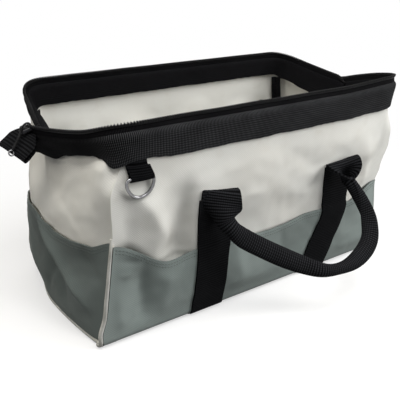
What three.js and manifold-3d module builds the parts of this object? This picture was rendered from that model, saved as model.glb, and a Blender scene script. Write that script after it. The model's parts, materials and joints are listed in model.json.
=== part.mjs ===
// A wide-mouth canvas tool bag: millimetres, +Z up, the base stands on Z = 0.
// X runs along the length, the front wall faces -Y. The mouth stands open.
import * as THREE from "three";
import Module from "manifold-3d";

const wasm = await Module();
wasm.setup();

// Driving dimensions
const baseDepth = 184; // between the two wall hinge lines
const rimDepth = 200; // between the wall planes at the rim
const wallHeight = 220; // up the wall to the top of the zip tape
const halfLengthLow = 198.5; // wall half length at the base
const halfLengthRim = 179; // wall half length at the rim
const canvasThick = 1.6;
const pocketThick = 1.2;
const webbingThick = 2.0;
const strapWidth = 44;
const strapX = 78; // middle of the straps where they pass under the base
const pocketHem = 75; // height of the wall pockets' hem in the middle
const bandHeight = 27; // outer leaf of the mouth band
const wireRadius = 2.0;
const hingeDrop = 23; // how far the end hinge lies below the rim wire
const frameCorner = 183; // X of the frames' corners
const frontReach = 210; // X of the front frame's end eyes
const rearReach = 195; // X of the rear frame's end eyes, which lie inside the front ones
const handleTilt = THREE.MathUtils.degToRad(35); // hanging handle, out from plumb
const tabTilt = THREE.MathUtils.degToRad(30); // zip end tabs droop
const tabLength = 24; // zip end tab, outwards
const tabWidth = 40;
const tabHalf = 2; // half its folded thickness
const pocketStandOff = 11; // how far an empty wall pocket gapes
const endPocketStandOff = 8; // and an empty end pocket
const rivetRadius = 2.0;
const headThick = 2.0; // rivet head
const eyeThick = 3.0; // flattened end eyes of the frames
const pivotClearance = 1.0; // between the rivet's end and the rear eye
const gap = 0.3; // between pieces that touch

// Values that follow from them
const baseThick = 3;
const pivotHeight = 3;
const lean = Math.atan((rimDepth - baseDepth) / 2 / wallHeight);
const bandTop = wallHeight - 9;
const bandLow = bandTop - bandHeight;
const wireY = canvasThick / 2 + gap + wireRadius;
const wireUp = bandTop - 4;
const rimY = -baseDepth / 2 + wireY * Math.cos(lean) - wireUp * Math.sin(lean);
const rimZ = pivotHeight + wireY * Math.sin(lean) + wireUp * Math.cos(lean);
const hingeZ = rimZ - hingeDrop;
const armReach = Math.hypot(rimY, hingeDrop);
const armDip = Math.atan2(hingeDrop, -rimY);
const frontFace = -canvasThick / 2 - gap; // just outside the wall canvas
const strapFace = frontFace - pocketThick - gap;
const strapTop = 141;
const cordRadius = 1.9; // piping
const cordY = frontFace - pocketThick - gap - cordRadius;

// Materials
const cloth = { roughness: 0.95, metalness: 0 };
const canvasWhite = new THREE.MeshStandardMaterial({ name: "canvas_white", color: 0xd9d4c8, ...cloth });
const canvasGrey = new THREE.MeshStandardMaterial({ name: "canvas_grey", color: 0x6f7672, ...cloth });
const webbingBlack = new THREE.MeshStandardMaterial({ name: "webbing_black", color: 0x1b1b1d, ...cloth });
const zipBlack = new THREE.MeshStandardMaterial({ name: "zip_black", color: 0x141416, roughness: 0.6 });
const pipingGrey = new THREE.MeshStandardMaterial({ name: "piping_grey", color: 0xb9b8b2, ...cloth });
const boardGrey = new THREE.MeshStandardMaterial({ name: "board_grey", color: 0x8d8a82, ...cloth });
const polished = { roughness: 0.25, metalness: 1 };
const steel = new THREE.MeshStandardMaterial({ name: "steel", color: 0xc4c6c8, ...polished });

function named(name, geometry, material) {
  const mesh = new THREE.Mesh(geometry, material);
  mesh.name = name;
  return mesh;
}

// Solids joined to, or cut from, one another
function toSolid(geometry) {
  const source = geometry.index ? geometry.toNonIndexed() : geometry;
  const points = source.getAttribute("position");
  const seen = new Map();
  const vertices = [];
  const triangles = [];
  for (let i = 0; i < points.count; i += 1) {
    const corner = [points.getX(i), points.getY(i), points.getZ(i)];
    const key = corner.map((value) => Math.round(value * 1e4)).join(",");
    if (!seen.has(key)) {
      seen.set(key, vertices.length / 3);
      vertices.push(...corner);
    }
    triangles.push(seen.get(key));
  }
  return new wasm.Manifold(
    new wasm.Mesh({
      numProp: 3,
      vertProperties: new Float32Array(vertices),
      triVerts: new Uint32Array(triangles),
    }),
  );
}

function fromSolid(solid) {
  const mesh = solid.getMesh();
  const geometry = new THREE.BufferGeometry();
  geometry.setAttribute("position", new THREE.BufferAttribute(mesh.vertProperties, 3));
  geometry.setIndex(new THREE.BufferAttribute(mesh.triVerts, 1));
  return geometry;
}

const cut = (body, ...tools) => fromSolid(tools.reduce((s, t) => s.subtract(toSolid(t)), toSolid(body)));
const join = (body, ...more) => fromSolid(more.reduce((s, t) => s.add(toSolid(t)), toSolid(body)));

function box(x0, x1, y0, y1, z0, z1) {
  const geometry = new THREE.BoxGeometry(x1 - x0, y1 - y0, z1 - z0);
  return geometry.translate((x0 + x1) / 2, (y0 + y1) / 2, (z0 + z1) / 2);
}

const polygon = (points) => new THREE.Shape(points.map(([a, b]) => new THREE.Vector2(a, b)));
const axisX = new THREE.Vector3(1, 0, 0);
const axisY = new THREE.Vector3(0, 1, 0);
const axisZ = new THREE.Vector3(0, 0, 1);

// A flat plate: outline in X and Z, running from yBack towards -Y
function plate(outline, thickness, yBack) {
  const geometry = new THREE.ExtrudeGeometry(outline, { depth: thickness, bevelEnabled: false });
  return geometry.rotateX(Math.PI / 2).translate(0, yBack, 0);
}

// A profile in Y and Z, running along X between two stations
function runAlongX(profile, x0, x1) {
  const settings = { depth: x1 - x0, bevelEnabled: false, curveSegments: 6 };
  const geometry = new THREE.ExtrudeGeometry(profile, settings);
  return geometry.applyMatrix4(new THREE.Matrix4().makeBasis(axisY, axisZ, axisX)).translate(x0, 0, 0);
}

// A round cord or wire along a curve
function cordAlong(curve, radius, steps) {
  const section = new THREE.Shape().absarc(0, 0, radius, 0, 2 * Math.PI, false);
  return new THREE.ExtrudeGeometry(section, { steps, extrudePath: curve, curveSegments: 4 });
}

// A closed cloth panel between two faces given over u and v in 0..1
function panel(inner, outer, columns, rows) {
  const faces = [inner, outer];
  const positions = [];
  const index = [];
  const at = (face, i, j) => face * (columns + 1) * (rows + 1) + i * (rows + 1) + j;
  faces.forEach((face) => {
    for (let i = 0; i <= columns; i += 1) {
      for (let j = 0; j <= rows; j += 1) {
        positions.push(...face(i / columns, j / rows).toArray());
      }
    }
  });
  const quad = (a, b, c, d) => index.push(a, b, c, a, c, d);
  for (let i = 0; i < columns; i += 1) {
    for (let j = 0; j < rows; j += 1) {
      quad(at(1, i, j), at(1, i + 1, j), at(1, i + 1, j + 1), at(1, i, j + 1));
      quad(at(0, i, j), at(0, i, j + 1), at(0, i + 1, j + 1), at(0, i + 1, j));
    }
    quad(at(0, i, 0), at(0, i + 1, 0), at(1, i + 1, 0), at(1, i, 0));
    quad(at(0, i, rows), at(1, i, rows), at(1, i + 1, rows), at(0, i + 1, rows));
  }
  for (let j = 0; j < rows; j += 1) {
    quad(at(0, 0, j), at(1, 0, j), at(1, 0, j + 1), at(0, 0, j + 1));
    quad(at(0, columns, j), at(0, columns, j + 1), at(1, columns, j + 1), at(1, columns, j));
  }
  const geometry = new THREE.BufferGeometry();
  geometry.setAttribute("position", new THREE.Float32BufferAttribute(positions, 3));
  geometry.setIndex(index);
  return toSolid(geometry).volume() < 0 ? turnedOut(geometry) : geometry;
}

function turnedOut(geometry) {
  const index = Array.from(geometry.index.array);
  for (let i = 0; i < index.length; i += 3) {
    [index[i], index[i + 1]] = [index[i + 1], index[i]];
  }
  geometry.setIndex(index);
  return geometry;
}

const { lerp, smoothstep } = THREE.MathUtils;
const halfLengthAt = (up) => lerp(halfLengthLow, halfLengthRim, up / (wallHeight - 11));
const spline = (points) => new THREE.SplineCurve(points.map(([a, b]) => new THREE.Vector2(a, b)));

// The grey wall pockets: the hem climbs towards the corners, and gapes between the seams
const cornerHem = pocketHem + 32;
const pocketEnd = halfLengthAt(cornerHem) - 0.5;
const pocketSpans = [
  [2 - pocketEnd, -strapX - 23], [28 - strapX, strapX - 25], [strapX + 52, pocketEnd - 2],
];
const pocketColumns = 8;
const pocketStations = [
  -pocketEnd,
  ...pocketSpans.flatMap(([from, to]) =>
    Array.from({ length: pocketColumns + 1 }, (_, i) => lerp(from, to, i / pocketColumns)),
  ),
  pocketEnd,
];

function wallHemAt(x) {
  const out = Math.abs(x);
  return pocketHem + 4 * smoothstep(out, 0, 70) + 28 * smoothstep(out, pocketEnd - 60, pocketEnd);
}

function wallPocketGape(x, v) {
  const span = pocketSpans.find(([from, to]) => x > from && x < to);
  const across = span ? Math.sin((Math.PI * (x - span[0])) / (span[1] - span[0])) : 0;
  return pocketStandOff * across * smoothstep(v, 0.1, 1);
}

function wallPocket() {
  const columns = pocketStations.length - 1;
  const face = (thickness) => (u, v) => {
    const station = pocketStations[Math.round(u * columns)];
    const hem = wallHemAt(station);
    const up = lerp(2, hem, v);
    const taper = (halfLengthAt(up) - 1.5) / (halfLengthAt(hem) - 1.5);
    return new THREE.Vector3(station * taper, frontFace - wallPocketGape(station, v) - thickness, up);
  };
  return panel(face(0), face(pocketThick), columns, 4);
}

// A sewn strap: its middle line climbs the wall through the given points
function strapOutline(line) {
  const half = strapWidth / 2;
  const left = line.map(([x, z]) => [x - half, z]);
  const right = line.map(([x, z]) => [x + half, z]).reverse();
  return polygon([...left, ...right]);
}

const leftStrapLine = [[-strapX, -1.2], [-strapX, 30], [2 - strapX, 90], [3 - strapX, strapTop]];
const rightStrapLine = [
  [strapX, -1.2], [strapX + 6, 25], [strapX + 22, 62], [strapX + 26, 85], [strapX + 22, strapTop],
];

function mouthBand() {
  const outer = frontFace - 1.3;
  const channel = wireY + wireRadius + gap;
  const profile = polygon([
    [outer, bandLow], [frontFace, bandLow], [frontFace, bandTop - 1.5], [channel, bandTop - 1.5],
    [channel, bandLow + 2], [channel + 1.3, bandLow + 2], [channel + 1.3, bandTop], [outer, bandTop],
  ]);
  const end = halfLengthRim + 0.5;
  const relief = (sign) => {
    const x = [sign * (frameCorner - 19), sign * (frameCorner + 17)].sort((a, b) => a - b);
    return box(x[0], x[1], frontFace + 0.02, 20, bandLow - 5, bandTop + 5);
  };
  return cut(runAlongX(profile, -end, end), relief(-1), relief(1));
}

function zipTeeth() {
  const pitch = 8;
  const low = wallHeight - 2.6;
  const end = frameCorner - 10;
  const outline = [[-end, low], [end, low]];
  for (let x = end; x - pitch > -end + 1; x -= pitch) {
    outline.push([x, wallHeight + 1], [x - pitch * 0.5, wallHeight + 1]);
    outline.push([x - pitch * 0.5, wallHeight - 0.8], [x - pitch, wallHeight - 0.8]);
  }
  outline.push([-end, wallHeight - 0.8]);
  return plate(polygon(outline), 2.8, wireY + 3.5);
}

// Steel D-ring: a bar along X with a bow hanging below it
function dRing() {
  const bow = [[-15.5, -5], [-12.5, -13.5], [-6, -18.5], [0, -19.6], [6, -18.5], [12.5, -13.5], [15.5, -5]];
  const bar = [[14.5, -0.6], [12.5, 0], [0, 0], [-12.5, 0], [-14.5, -0.6]];
  const points = [...bow, ...bar].map(([x, z]) => new THREE.Vector3(x, 0, z));
  const path = new THREE.CatmullRomCurve3(points, true, "centripetal");
  return new THREE.TubeGeometry(path, 32, 1.7, 6, true);
}

const ringY = -4.4;
const ringUp = bandLow - 14;
const ringInset = 22.6; // from the corner seam
const ringX = ringInset - halfLengthAt(ringUp);

function ringLoop() {
  const top = bandLow - 0.4;
  const profile = new THREE.Shape();
  profile.moveTo(ringY + 3.2, top);
  profile.lineTo(ringY + 3.2, ringUp);
  profile.absarc(ringY, ringUp, 3.2, 0, -Math.PI, true);
  profile.lineTo(ringY - 3.2, top);
  profile.lineTo(ringY - 2.0, top);
  profile.lineTo(ringY - 2.0, ringUp);
  profile.absarc(ringY, ringUp, 2.0, -Math.PI, 0, false);
  profile.lineTo(ringY + 2.0, top);
  return runAlongX(profile, ringX - 12.5, ringX + 12.5);
}

// The handle: a loop of webbing, wide where it is sewn and folded narrow at the grip.
// Its line is given as shares of the distance between the two strap tops.
const handleStart = 3 - strapX;
const handleSpan = strapX + 22 - handleStart;
const handleLine = new THREE.CatmullRomCurve3(
  [
    [0, 0], [-0.017, 0.08], [0, 0.171], [0.074, 0.263], [0.211, 0.377], [0.354, 0.497],
    [0.474, 0.583], [0.617, 0.646], [0.766, 0.657], [0.909, 0.623], [1.023, 0.543], [1.069, 0.434],
    [1.063, 0.32], [1.04, 0.217], [1.011, 0.103], [1, 0],
  ].map(([x, down]) => new THREE.Vector3(handleStart + x * handleSpan, 0, -down * handleSpan)),
);

function handle() {
  const face = (side) => (u, w) => {
    const ends = Math.min(u, 1 - u);
    const width = lerp(strapWidth, 23, smoothstep(ends, 0.01, 0.16));
    const thickness = lerp(webbingThick, 5, smoothstep(ends, 0.05, 0.2));
    const along = handleLine.getTangentAt(u);
    if (ends < 0.03) {
      along.set(0, 0, u < 0.5 ? -1 : 1);
    }
    const across = new THREE.Vector3().crossVectors(axisY, along).normalize();
    const point = handleLine.getPointAt(u).addScaledVector(across, (w - 0.5) * width);
    point.y = (side * thickness) / 2;
    return point;
  };
  return panel(face(1), face(-1), 34, 2);
}

// One wall with everything sewn to it, in the wall's own frame
function wall(side, leftName, rightName) {
  const group = new THREE.Group();
  const add = (name, geometry, material) => group.add(named(`${side}_${name}`, geometry, material));
  const canvasTop = bandTop - 1.8;
  const canvas = polygon([
    [-halfLengthAt(1), 1], [halfLengthAt(1), 1], [halfLengthAt(canvasTop), canvasTop],
    [-halfLengthAt(canvasTop), canvasTop],
  ]);
  add("canvas", plate(canvas, canvasThick, canvasThick / 2), canvasWhite);
  add("pocket", wallPocket(), canvasGrey);
  add("mouth_band", mouthBand(), webbingBlack);
  const tapeBack = wireY + 2.7;
  const tapeEnd = frameCorner - 8;
  const tape = box(-tapeEnd, tapeEnd, tapeBack - 1.2, tapeBack, bandTop + gap, wallHeight - 2.9);
  add("zip_tape", tape, zipBlack);
  add("zip_teeth", zipTeeth(), zipBlack);
  const strapBack = strapFace;
  add(`${leftName}_strap`, plate(strapOutline(leftStrapLine), webbingThick, strapBack), webbingBlack);
  add(`${rightName}_strap`, plate(strapOutline(rightStrapLine), webbingThick, strapBack), webbingBlack);
  for (const [sign, name] of [[-1, leftName], [1, rightName]]) {
    const cordAt = (up) => new THREE.Vector3(sign * (halfLengthAt(up) - 0.2), cordY, up);
    const cordLine = new THREE.LineCurve3(cordAt(4), cordAt(bandLow - 19));
    add(`${name}_piping`, cordAlong(cordLine, cordRadius, 1), pipingGrey);
    const tapeX = (up, inset) => sign * (halfLengthAt(up) - inset);
    const binding = polygon([
      [tapeX(8, 12), 8], [tapeX(8, 1), 8], [tapeX(bandLow, 1), bandLow], [tapeX(bandLow, 12), bandLow],
    ]);
    add(`${name}_binding`, plate(binding, 1, canvasThick / 2 + gap + 1), webbingBlack);
  }
  add("ring_loop", ringLoop(), webbingBlack);
  const ring = named(`${side}_d_ring`, dRing(), steel);
  ring.position.set(ringX, ringY, ringUp);
  ring.rotation.x = -lean;
  group.add(ring);
  const grip = named(`${side}_handle`, handle(), webbingBlack);
  grip.position.set(0, strapFace - webbingThick - gap - webbingThick / 2, strapTop - 1);
  grip.rotation.x = -handleTilt - lean;
  group.add(grip);
  group.position.set(0, -baseDepth / 2, pivotHeight);
  group.rotation.x = lean;
  return group;
}

// One U-shaped frame: X along the rim, its own +Y points to the end hinges
function frame(side, leftName, rightName, reach) {
  const group = new THREE.Group();
  const corner = frameCorner;
  const bend = 14;
  const arm = new THREE.Vector3(reach - corner, armReach, 0);
  const armLength = arm.length();
  arm.normalize();
  const onArm = (sign, s) => new THREE.Vector3(sign * (corner + arm.x * s), arm.y * s, 0);
  const onRim = (sign) => new THREE.Vector3(sign * (corner - bend), 0, 0);
  const path = new THREE.CurvePath();
  path.add(new THREE.LineCurve3(onArm(-1, armLength - 4), onArm(-1, bend)));
  path.add(new THREE.QuadraticBezierCurve3(onArm(-1, bend), onArm(-1, 0), onRim(-1)));
  path.add(new THREE.LineCurve3(onRim(-1), onRim(1)));
  path.add(new THREE.QuadraticBezierCurve3(onRim(1), onArm(1, 0), onArm(1, bend)));
  path.add(new THREE.LineCurve3(onArm(1, bend), onArm(1, armLength - 4)));
  const wire = cordAlong(path, wireRadius, 48);
  const bore = rivetRadius + gap;
  const half = eyeThick / 2;
  const eye = (sign) => {
    const section = [[bore, -half], [6, -half], [6, half], [bore, half], [bore, -half]];
    const ring = new THREE.LatheGeometry(section.map(([r, h]) => new THREE.Vector2(r, h)), 12);
    return ring.rotateZ(Math.PI / 2).translate(sign * reach, armReach, 0);
  };
  group.add(named(`${side}_frame_wire`, join(wire, eye(-1), eye(1)), steel));

  const inside = wireRadius + gap;
  const outside = inside + 1;
  const low = 3 - bandHeight;
  const ridge = 8;
  const sleeve = polygon([
    [-outside, low], [-inside, low], [-inside, inside], [inside, inside], [inside, low], [outside, low],
    [outside, inside + 1.3], [0.7, inside + 1.3], [0.7, ridge], [-0.7, ridge],
    [-0.7, inside + 1.3], [-outside, inside + 1.3],
  ]);
  for (const [sign, name] of [[-1, leftName], [1, rightName]]) {
    const along = new THREE.Vector3(sign * arm.x, arm.y, 0);
    const across = new THREE.Vector3().crossVectors(axisZ, along);
    const sleeveStart = 3;
    const sleeveLength = armLength - sleeveStart - 8;
    const band = new THREE.ExtrudeGeometry(sleeve, { depth: sleeveLength, bevelEnabled: false });
    // The leaf facing the inside is cut back where the wire bends into the rim
    const relief = box(0, 10, low - 1, inside, -1, bend + 2);
    const inward = sign > 0 ? relief : relief.translate(-10, 0, 0);
    const cutBand = cut(band, inward);
    cutBand.applyMatrix4(new THREE.Matrix4().makeBasis(across, axisZ, along));
    const start = onArm(sign, sleeveStart);
    cutBand.translate(start.x, start.y, start.z);
    group.add(named(`${side}_${name}_arm_band`, cutBand, webbingBlack));
  }
  group.position.set(0, rimY, rimZ);
  group.rotation.x = -armDip;
  return group;
}

// Hinge rivet through the front frame's eye: its shank stops just short of the rear frame's eye
function hingeRivet(sign) {
  const headStart = eyeThick / 2 + gap;
  const headTop = headStart + headThick;
  const shankEnd = rearReach + eyeThick / 2 + pivotClearance - frontReach;
  const rivet = new THREE.LatheGeometry(
    [
      [0, shankEnd], [rivetRadius, shankEnd], [rivetRadius, headStart], [4.6, headStart],
      [4.2, headStart + 1.4], [2.4, headTop], [0, headTop],
    ].map(([r, h]) => new THREE.Vector2(r, h)),
    12,
  );
  return rivet.rotateZ((-sign * Math.PI) / 2).translate(sign * frontReach, 0, hingeZ);
}

// The end of the zip: a folded webbing tab, drooping from the hinge
function zipEnd(name, sign) {
  const group = new THREE.Group();
  const outline = new THREE.Shape();
  const fold = tabLength - tabHalf;
  outline.moveTo(0, -tabHalf);
  outline.lineTo(0, tabHalf);
  outline.lineTo(-fold, tabHalf);
  outline.absarc(-fold, 0, tabHalf, Math.PI / 2, (3 * Math.PI) / 2, false);
  group.add(named(`${name}_zip_tab`, plate(outline, tabWidth, tabWidth / 2), webbingBlack));
  const headFace = frontReach + eyeThick / 2 + gap + headThick;
  group.position.set(sign * (headFace + gap + tabHalf / 2), 0, hingeZ + 2);
  group.rotation.order = "ZYX";
  group.rotation.z = sign > 0 ? Math.PI : 0;
  group.rotation.y = -tabTilt;
  return group;
}

const sliderOuter = 14;
function slider() {
  const low = tabHalf + gap;
  const top = low + 4.2;
  const outline = polygon([
    [-sliderOuter, low], [-3, low], [-3, top - 1.5], [-5, top], [2 - sliderOuter, top],
    [-sliderOuter, top - 1.5],
  ]);
  return plate(outline, 9, 4.5);
}

// The pull lies on the tab, turning on the slider's outer end
const pullThick = 1.8;
const pullPivot = new THREE.Vector2(-sliderOuter - gap - 1, tabHalf + 0.6 + pullThick / 2);
function zipPull() {
  const half = pullThick / 2;
  const end = pullPivot.x - 26;
  const body = polygon([
    [pullPivot.x, pullPivot.y - half], [pullPivot.x + 0.8, pullPivot.y], [pullPivot.x, pullPivot.y + half],
    [end, pullPivot.y + half], [end, pullPivot.y - half],
  ]);
  const hole = new THREE.CylinderGeometry(1.8, 1.8, 6, 16).rotateX(Math.PI / 2);
  hole.translate(end + 4, 0, pullPivot.y);
  return cut(plate(body, 7, 3.5), hole);
}

// The end panels bow outwards from the corners towards the hinge
function endX(y, z) {
  const up = z - pivotHeight;
  const halfDepth = endHalfDepth(z);
  const bow = (frontReach - frameCorner) * (up / wallHeight);
  return halfLengthAt(up) + 0.5 + bow * (1 - (y / halfDepth) ** 2);
}

function endHalfDepth(z) {
  return baseDepth / 2 + (z - pivotHeight) * Math.tan(lean) - 0.4;
}

function endCanvas(sign) {
  const topAt = (y) => rimZ - bandHeight - 0.4 - hingeDrop * Math.max(0, 1 - Math.abs(y / rimY));
  const face = (thickness) => (u, v) => {
    const across = 2 * u - 1;
    const z = lerp(4.4, topAt(across * -rimY), v);
    const y = across * endHalfDepth(z);
    return new THREE.Vector3(sign * (endX(y, z) + thickness), y, z);
  };
  return panel(face(0), face(canvasThick), 12, 6);
}

// The end pocket's hem: across as shares of the half depth, height above the wall pockets' hem
const endHem = spline(
  [[-1, 36], [-0.8, 29], [-0.533, 24], [0, 26], [0.533, 24], [0.8, 29], [1, 36]].map(([across, rise]) => [
    across * (baseDepth / 2 - 2),
    pocketHem + rise,
  ]),
);

function endPocket(sign) {
  const face = (thickness) => (u, v) => {
    const hem = endHem.getPointAt(u);
    const z = lerp(5.4, hem.y, v);
    const gape = endPocketStandOff * Math.sin(Math.PI * u) * smoothstep(v, 0.1, 1);
    const y = (hem.x * (endHalfDepth(z) - 2)) / (endHalfDepth(hem.y) - 2);
    const x = endX(y, z) + canvasThick + gap + gape + thickness;
    return new THREE.Vector3(sign * x, y, z);
  };
  return panel(face(0), face(pocketThick), 16, 5);
}

function basePanel() {
  const halfX = halfLengthLow - 0.5;
  const halfY = baseDepth / 2 - 1;
  const groove = (x) => box(x - strapWidth / 2 - 0.4, x + strapWidth / 2 + 0.4, -100, 100, -1, 1.8);
  return cut(box(-halfX, halfX, -halfY, halfY, 0, baseThick), groove(-strapX), groove(strapX));
}

const bag = new THREE.Group();
bag.name = "tool_bag";
bag.add(named("base_panel", basePanel(), canvasGrey));
const boardX = halfLengthLow - 8.5;
const boardY = baseDepth / 2 - 8;
const boardLow = baseThick + gap;
const board = box(-boardX, boardX, -boardY, boardY, boardLow, boardLow + 3);
bag.add(named("base_board", board, boardGrey));
for (const [sign, name] of [[-1, "left"], [1, "right"]]) {
  const half = strapWidth / 2;
  const middle = sign * strapX;
  const reach = baseDepth / 2 + 4.4;
  const strap = box(middle - half, middle + half, -reach, reach, 0, 1.5);
  bag.add(named(`${name}_base_strap`, strap, webbingBlack));
  bag.add(named(`${name}_end_canvas`, endCanvas(sign), canvasWhite));
  bag.add(named(`${name}_end_pocket`, endPocket(sign), canvasGrey));
  const cordX = sign * (halfLengthLow - 0.5 + gap + cordRadius);
  const cordEnd = (y) => new THREE.Vector3(cordX, y, cordRadius + 0.2);
  const cordLine = new THREE.LineCurve3(cordEnd(6 - baseDepth / 2), cordEnd(baseDepth / 2 - 6));
  bag.add(named(`${name}_base_piping`, cordAlong(cordLine, cordRadius, 1), pipingGrey));
  bag.add(named(`${name}_hinge_rivet`, hingeRivet(sign), steel));
}

const frontHalf = new THREE.Group();
frontHalf.add(wall("front", "left", "right"), frame("front", "left", "right", frontReach));
const rearHalf = new THREE.Group();
rearHalf.add(wall("rear", "right", "left"), frame("rear", "right", "left", rearReach));
rearHalf.rotation.z = Math.PI;
bag.add(frontHalf, rearHalf);

const leftZipEnd = zipEnd("left", -1);
leftZipEnd.add(named("zip_slider", slider(), zipBlack), named("zip_pull", zipPull(), zipBlack));
bag.add(leftZipEnd, zipEnd("right", 1));

export default bag;
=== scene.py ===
import json
import math
from collections import namedtuple

import bpy
from mathutils import Matrix, Vector, noise


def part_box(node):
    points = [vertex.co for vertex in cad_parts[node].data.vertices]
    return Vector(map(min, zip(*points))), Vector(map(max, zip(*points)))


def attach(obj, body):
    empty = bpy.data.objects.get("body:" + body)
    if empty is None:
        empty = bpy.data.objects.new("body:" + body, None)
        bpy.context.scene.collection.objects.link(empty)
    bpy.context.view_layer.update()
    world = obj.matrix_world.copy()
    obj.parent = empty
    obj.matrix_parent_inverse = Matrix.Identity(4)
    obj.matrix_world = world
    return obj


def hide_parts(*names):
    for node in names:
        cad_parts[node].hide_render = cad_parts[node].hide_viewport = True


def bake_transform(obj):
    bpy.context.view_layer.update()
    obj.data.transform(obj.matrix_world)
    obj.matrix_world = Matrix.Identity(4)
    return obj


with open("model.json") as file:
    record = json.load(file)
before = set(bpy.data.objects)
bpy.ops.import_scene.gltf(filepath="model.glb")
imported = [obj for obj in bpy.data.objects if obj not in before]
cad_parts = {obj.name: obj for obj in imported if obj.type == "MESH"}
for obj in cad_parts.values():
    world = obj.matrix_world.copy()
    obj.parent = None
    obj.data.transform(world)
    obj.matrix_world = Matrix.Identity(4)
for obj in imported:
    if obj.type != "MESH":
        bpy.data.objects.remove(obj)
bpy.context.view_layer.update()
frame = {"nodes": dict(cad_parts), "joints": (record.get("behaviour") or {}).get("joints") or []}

# Sizes taken from the frame
MM = 0.001
joint_at = {j["name"]: Vector(j["pos_m"]) / MM for j in frame["joints"]}
PIVOT_Y = -joint_at["front_mouth"].y
PIVOT_Z = joint_at["front_mouth"].z
RIM_Y = -joint_at["front_frame_fold"].y
RIM_Z = joint_at["front_frame_fold"].z
HINGE_Z = joint_at["left_zip_end_level"].z
HALF_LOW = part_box("front_canvas")[1][0] / MM
HALF_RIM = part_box("front_mouth_band")[1][0] / MM - 0.5
WIRE_IN = 3.1
WIRE_UP = math.sqrt((RIM_Y - PIVOT_Y) ** 2 + (RIM_Z - PIVOT_Z) ** 2 - WIRE_IN**2)
LEAN = math.atan2(RIM_Y - PIVOT_Y, RIM_Z - PIVOT_Z) + math.atan2(WIRE_IN, WIRE_UP)
BAND_TOP = WIRE_UP + 4
BAND_LOW = BAND_TOP - 27
CORNER_X = 183
CORNER_BEND = 24
REACH = {1: 209, -1: 200}
ARM_TILT = math.radians(24)
SIDES = {"front": 1, "rear": -1}
ENDS = {"left": -1, "right": 1}
STRAP_HALF = 20
UP = Vector((0, 0, 1))

# Cloth thicknesses, hem stitching and cords
WALL_THICK = 1.5
END_THICK = 1.4
POCKET_THICK = 1.2
BINDING_THICK = 0.9
STRAP_THICK = 2.0
GRIP_THICK = 1.8
STITCH_PITCH = 3.4
STITCH_DROPS = (3.2, 6.4)
STITCH_LIFT = 0.1
PIPING_RADIUS = 2.3
FLOOR_PIPING_RADIUS = 1.9
FLOOR_PIPING_Z = 2.1
WELT_RADIUS = 0.9


# Small sums
def lerp(a, b, t):
    return a + (b - a) * t


def smooth(value, low, high):
    t = min(1.0, max(0.0, (value - low) / (high - low)))
    return t * t * (3 - 2 * t)


def hump(value, rise, full, fall, end):
    """Grows from 0 at rise to 1 at full, and is back at 0 from fall to end."""
    return smooth(value, rise, full) * (1 - smooth(value, fall, end))


def bell(value, middle, width):
    return math.exp(-(((value - middle) / width) ** 2))


def ripple(a, b, seed):
    return noise.noise(Vector((a, b, seed)))


def along(points, t):
    """A smooth line through the points, at t from 0 to 1."""
    spans = len(points) - 1
    place = min(max(t, 0.0), 1.0) * spans
    i = min(int(place), spans - 1)
    f = place - i
    p0 = points[max(i - 1, 0)]
    p1 = points[i]
    p2 = points[i + 1]
    p3 = points[min(i + 2, spans)]
    out = []
    for a, b, c, d in zip(p0, p1, p2, p3):
        bend = (2 * a - 5 * b + 4 * c - d) * f * f + (3 * b - a - 3 * c + d) * f**3
        out.append(b + 0.5 * ((c - a) * f + bend))
    return out


def table(points, value):
    """The height of a line given as (place, height) pairs, eased between them."""
    for (a, low), (b, high) in zip(points, points[1:]):
        if value <= b:
            return lerp(low, high, smooth(value, a, b))
    return points[-1][1]


# How far the front right corner stands out of true, by height, and how far it is raised
FRONT_RIGHT = [(0, -8), (56, -9), (96, -13), (114, -6), (146, 5), (188, 9), (212, 12)]
FRONT_RIGHT_UP = 4
# How far the lower rear corner is tucked in, the left corners puff out and the hinges are drawn
LOW_REAR_IN = 13
FRONT_LEFT_PUFF = 6.5
REAR_LEFT_PUFF = 4.5
HINGE_OUT = 7.5
HINGE_UP = 4


def settle(p):
    """How the soft bag has settled at its corners, and how the hinges are drawn out and up."""
    low_rear = smooth(-p.x, 120, 195) * smooth(p.y, 5, 92) * (1 - smooth(p.z, 2, 38))
    front_right = smooth(p.x, 95, 188) * smooth(-p.y, 0, 80)
    hinge = smooth(abs(p.x), 178, 200) * smooth(85 - abs(p.y), 0, 85) * smooth(p.z, 140, 180)
    drawn_out = -HINGE_OUT * hinge if p.x < 0 else 0.0
    front_left = smooth(-p.x, 172, 187) * smooth(-p.y, 45, 92)
    front_left *= hump(p.z, 112, 168, 178, 194)
    rear_left = smooth(-p.x, 140, 185) * smooth(p.y, 10, 80) * smooth(p.z, 160, 200)
    puffed = -FRONT_LEFT_PUFF * front_left - REAR_LEFT_PUFF * rear_left
    dx = LOW_REAR_IN * low_rear + front_right * table(FRONT_RIGHT, p.z) + drawn_out + puffed
    dz = HINGE_UP * hinge + FRONT_RIGHT_UP * front_right * smooth(p.z, 150, 205)
    return p + Vector((dx, 0, dz))


def placed(p):
    return settle(Vector(p)) * MM


# Shader nodes
def sums(operation, swapped=False):
    """A method of a shader socket that makes the node of a sum."""

    def made(self, other):
        pair = (other, self) if swapped else (self, other)
        return self.maths(operation, *pair)

    return made


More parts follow.
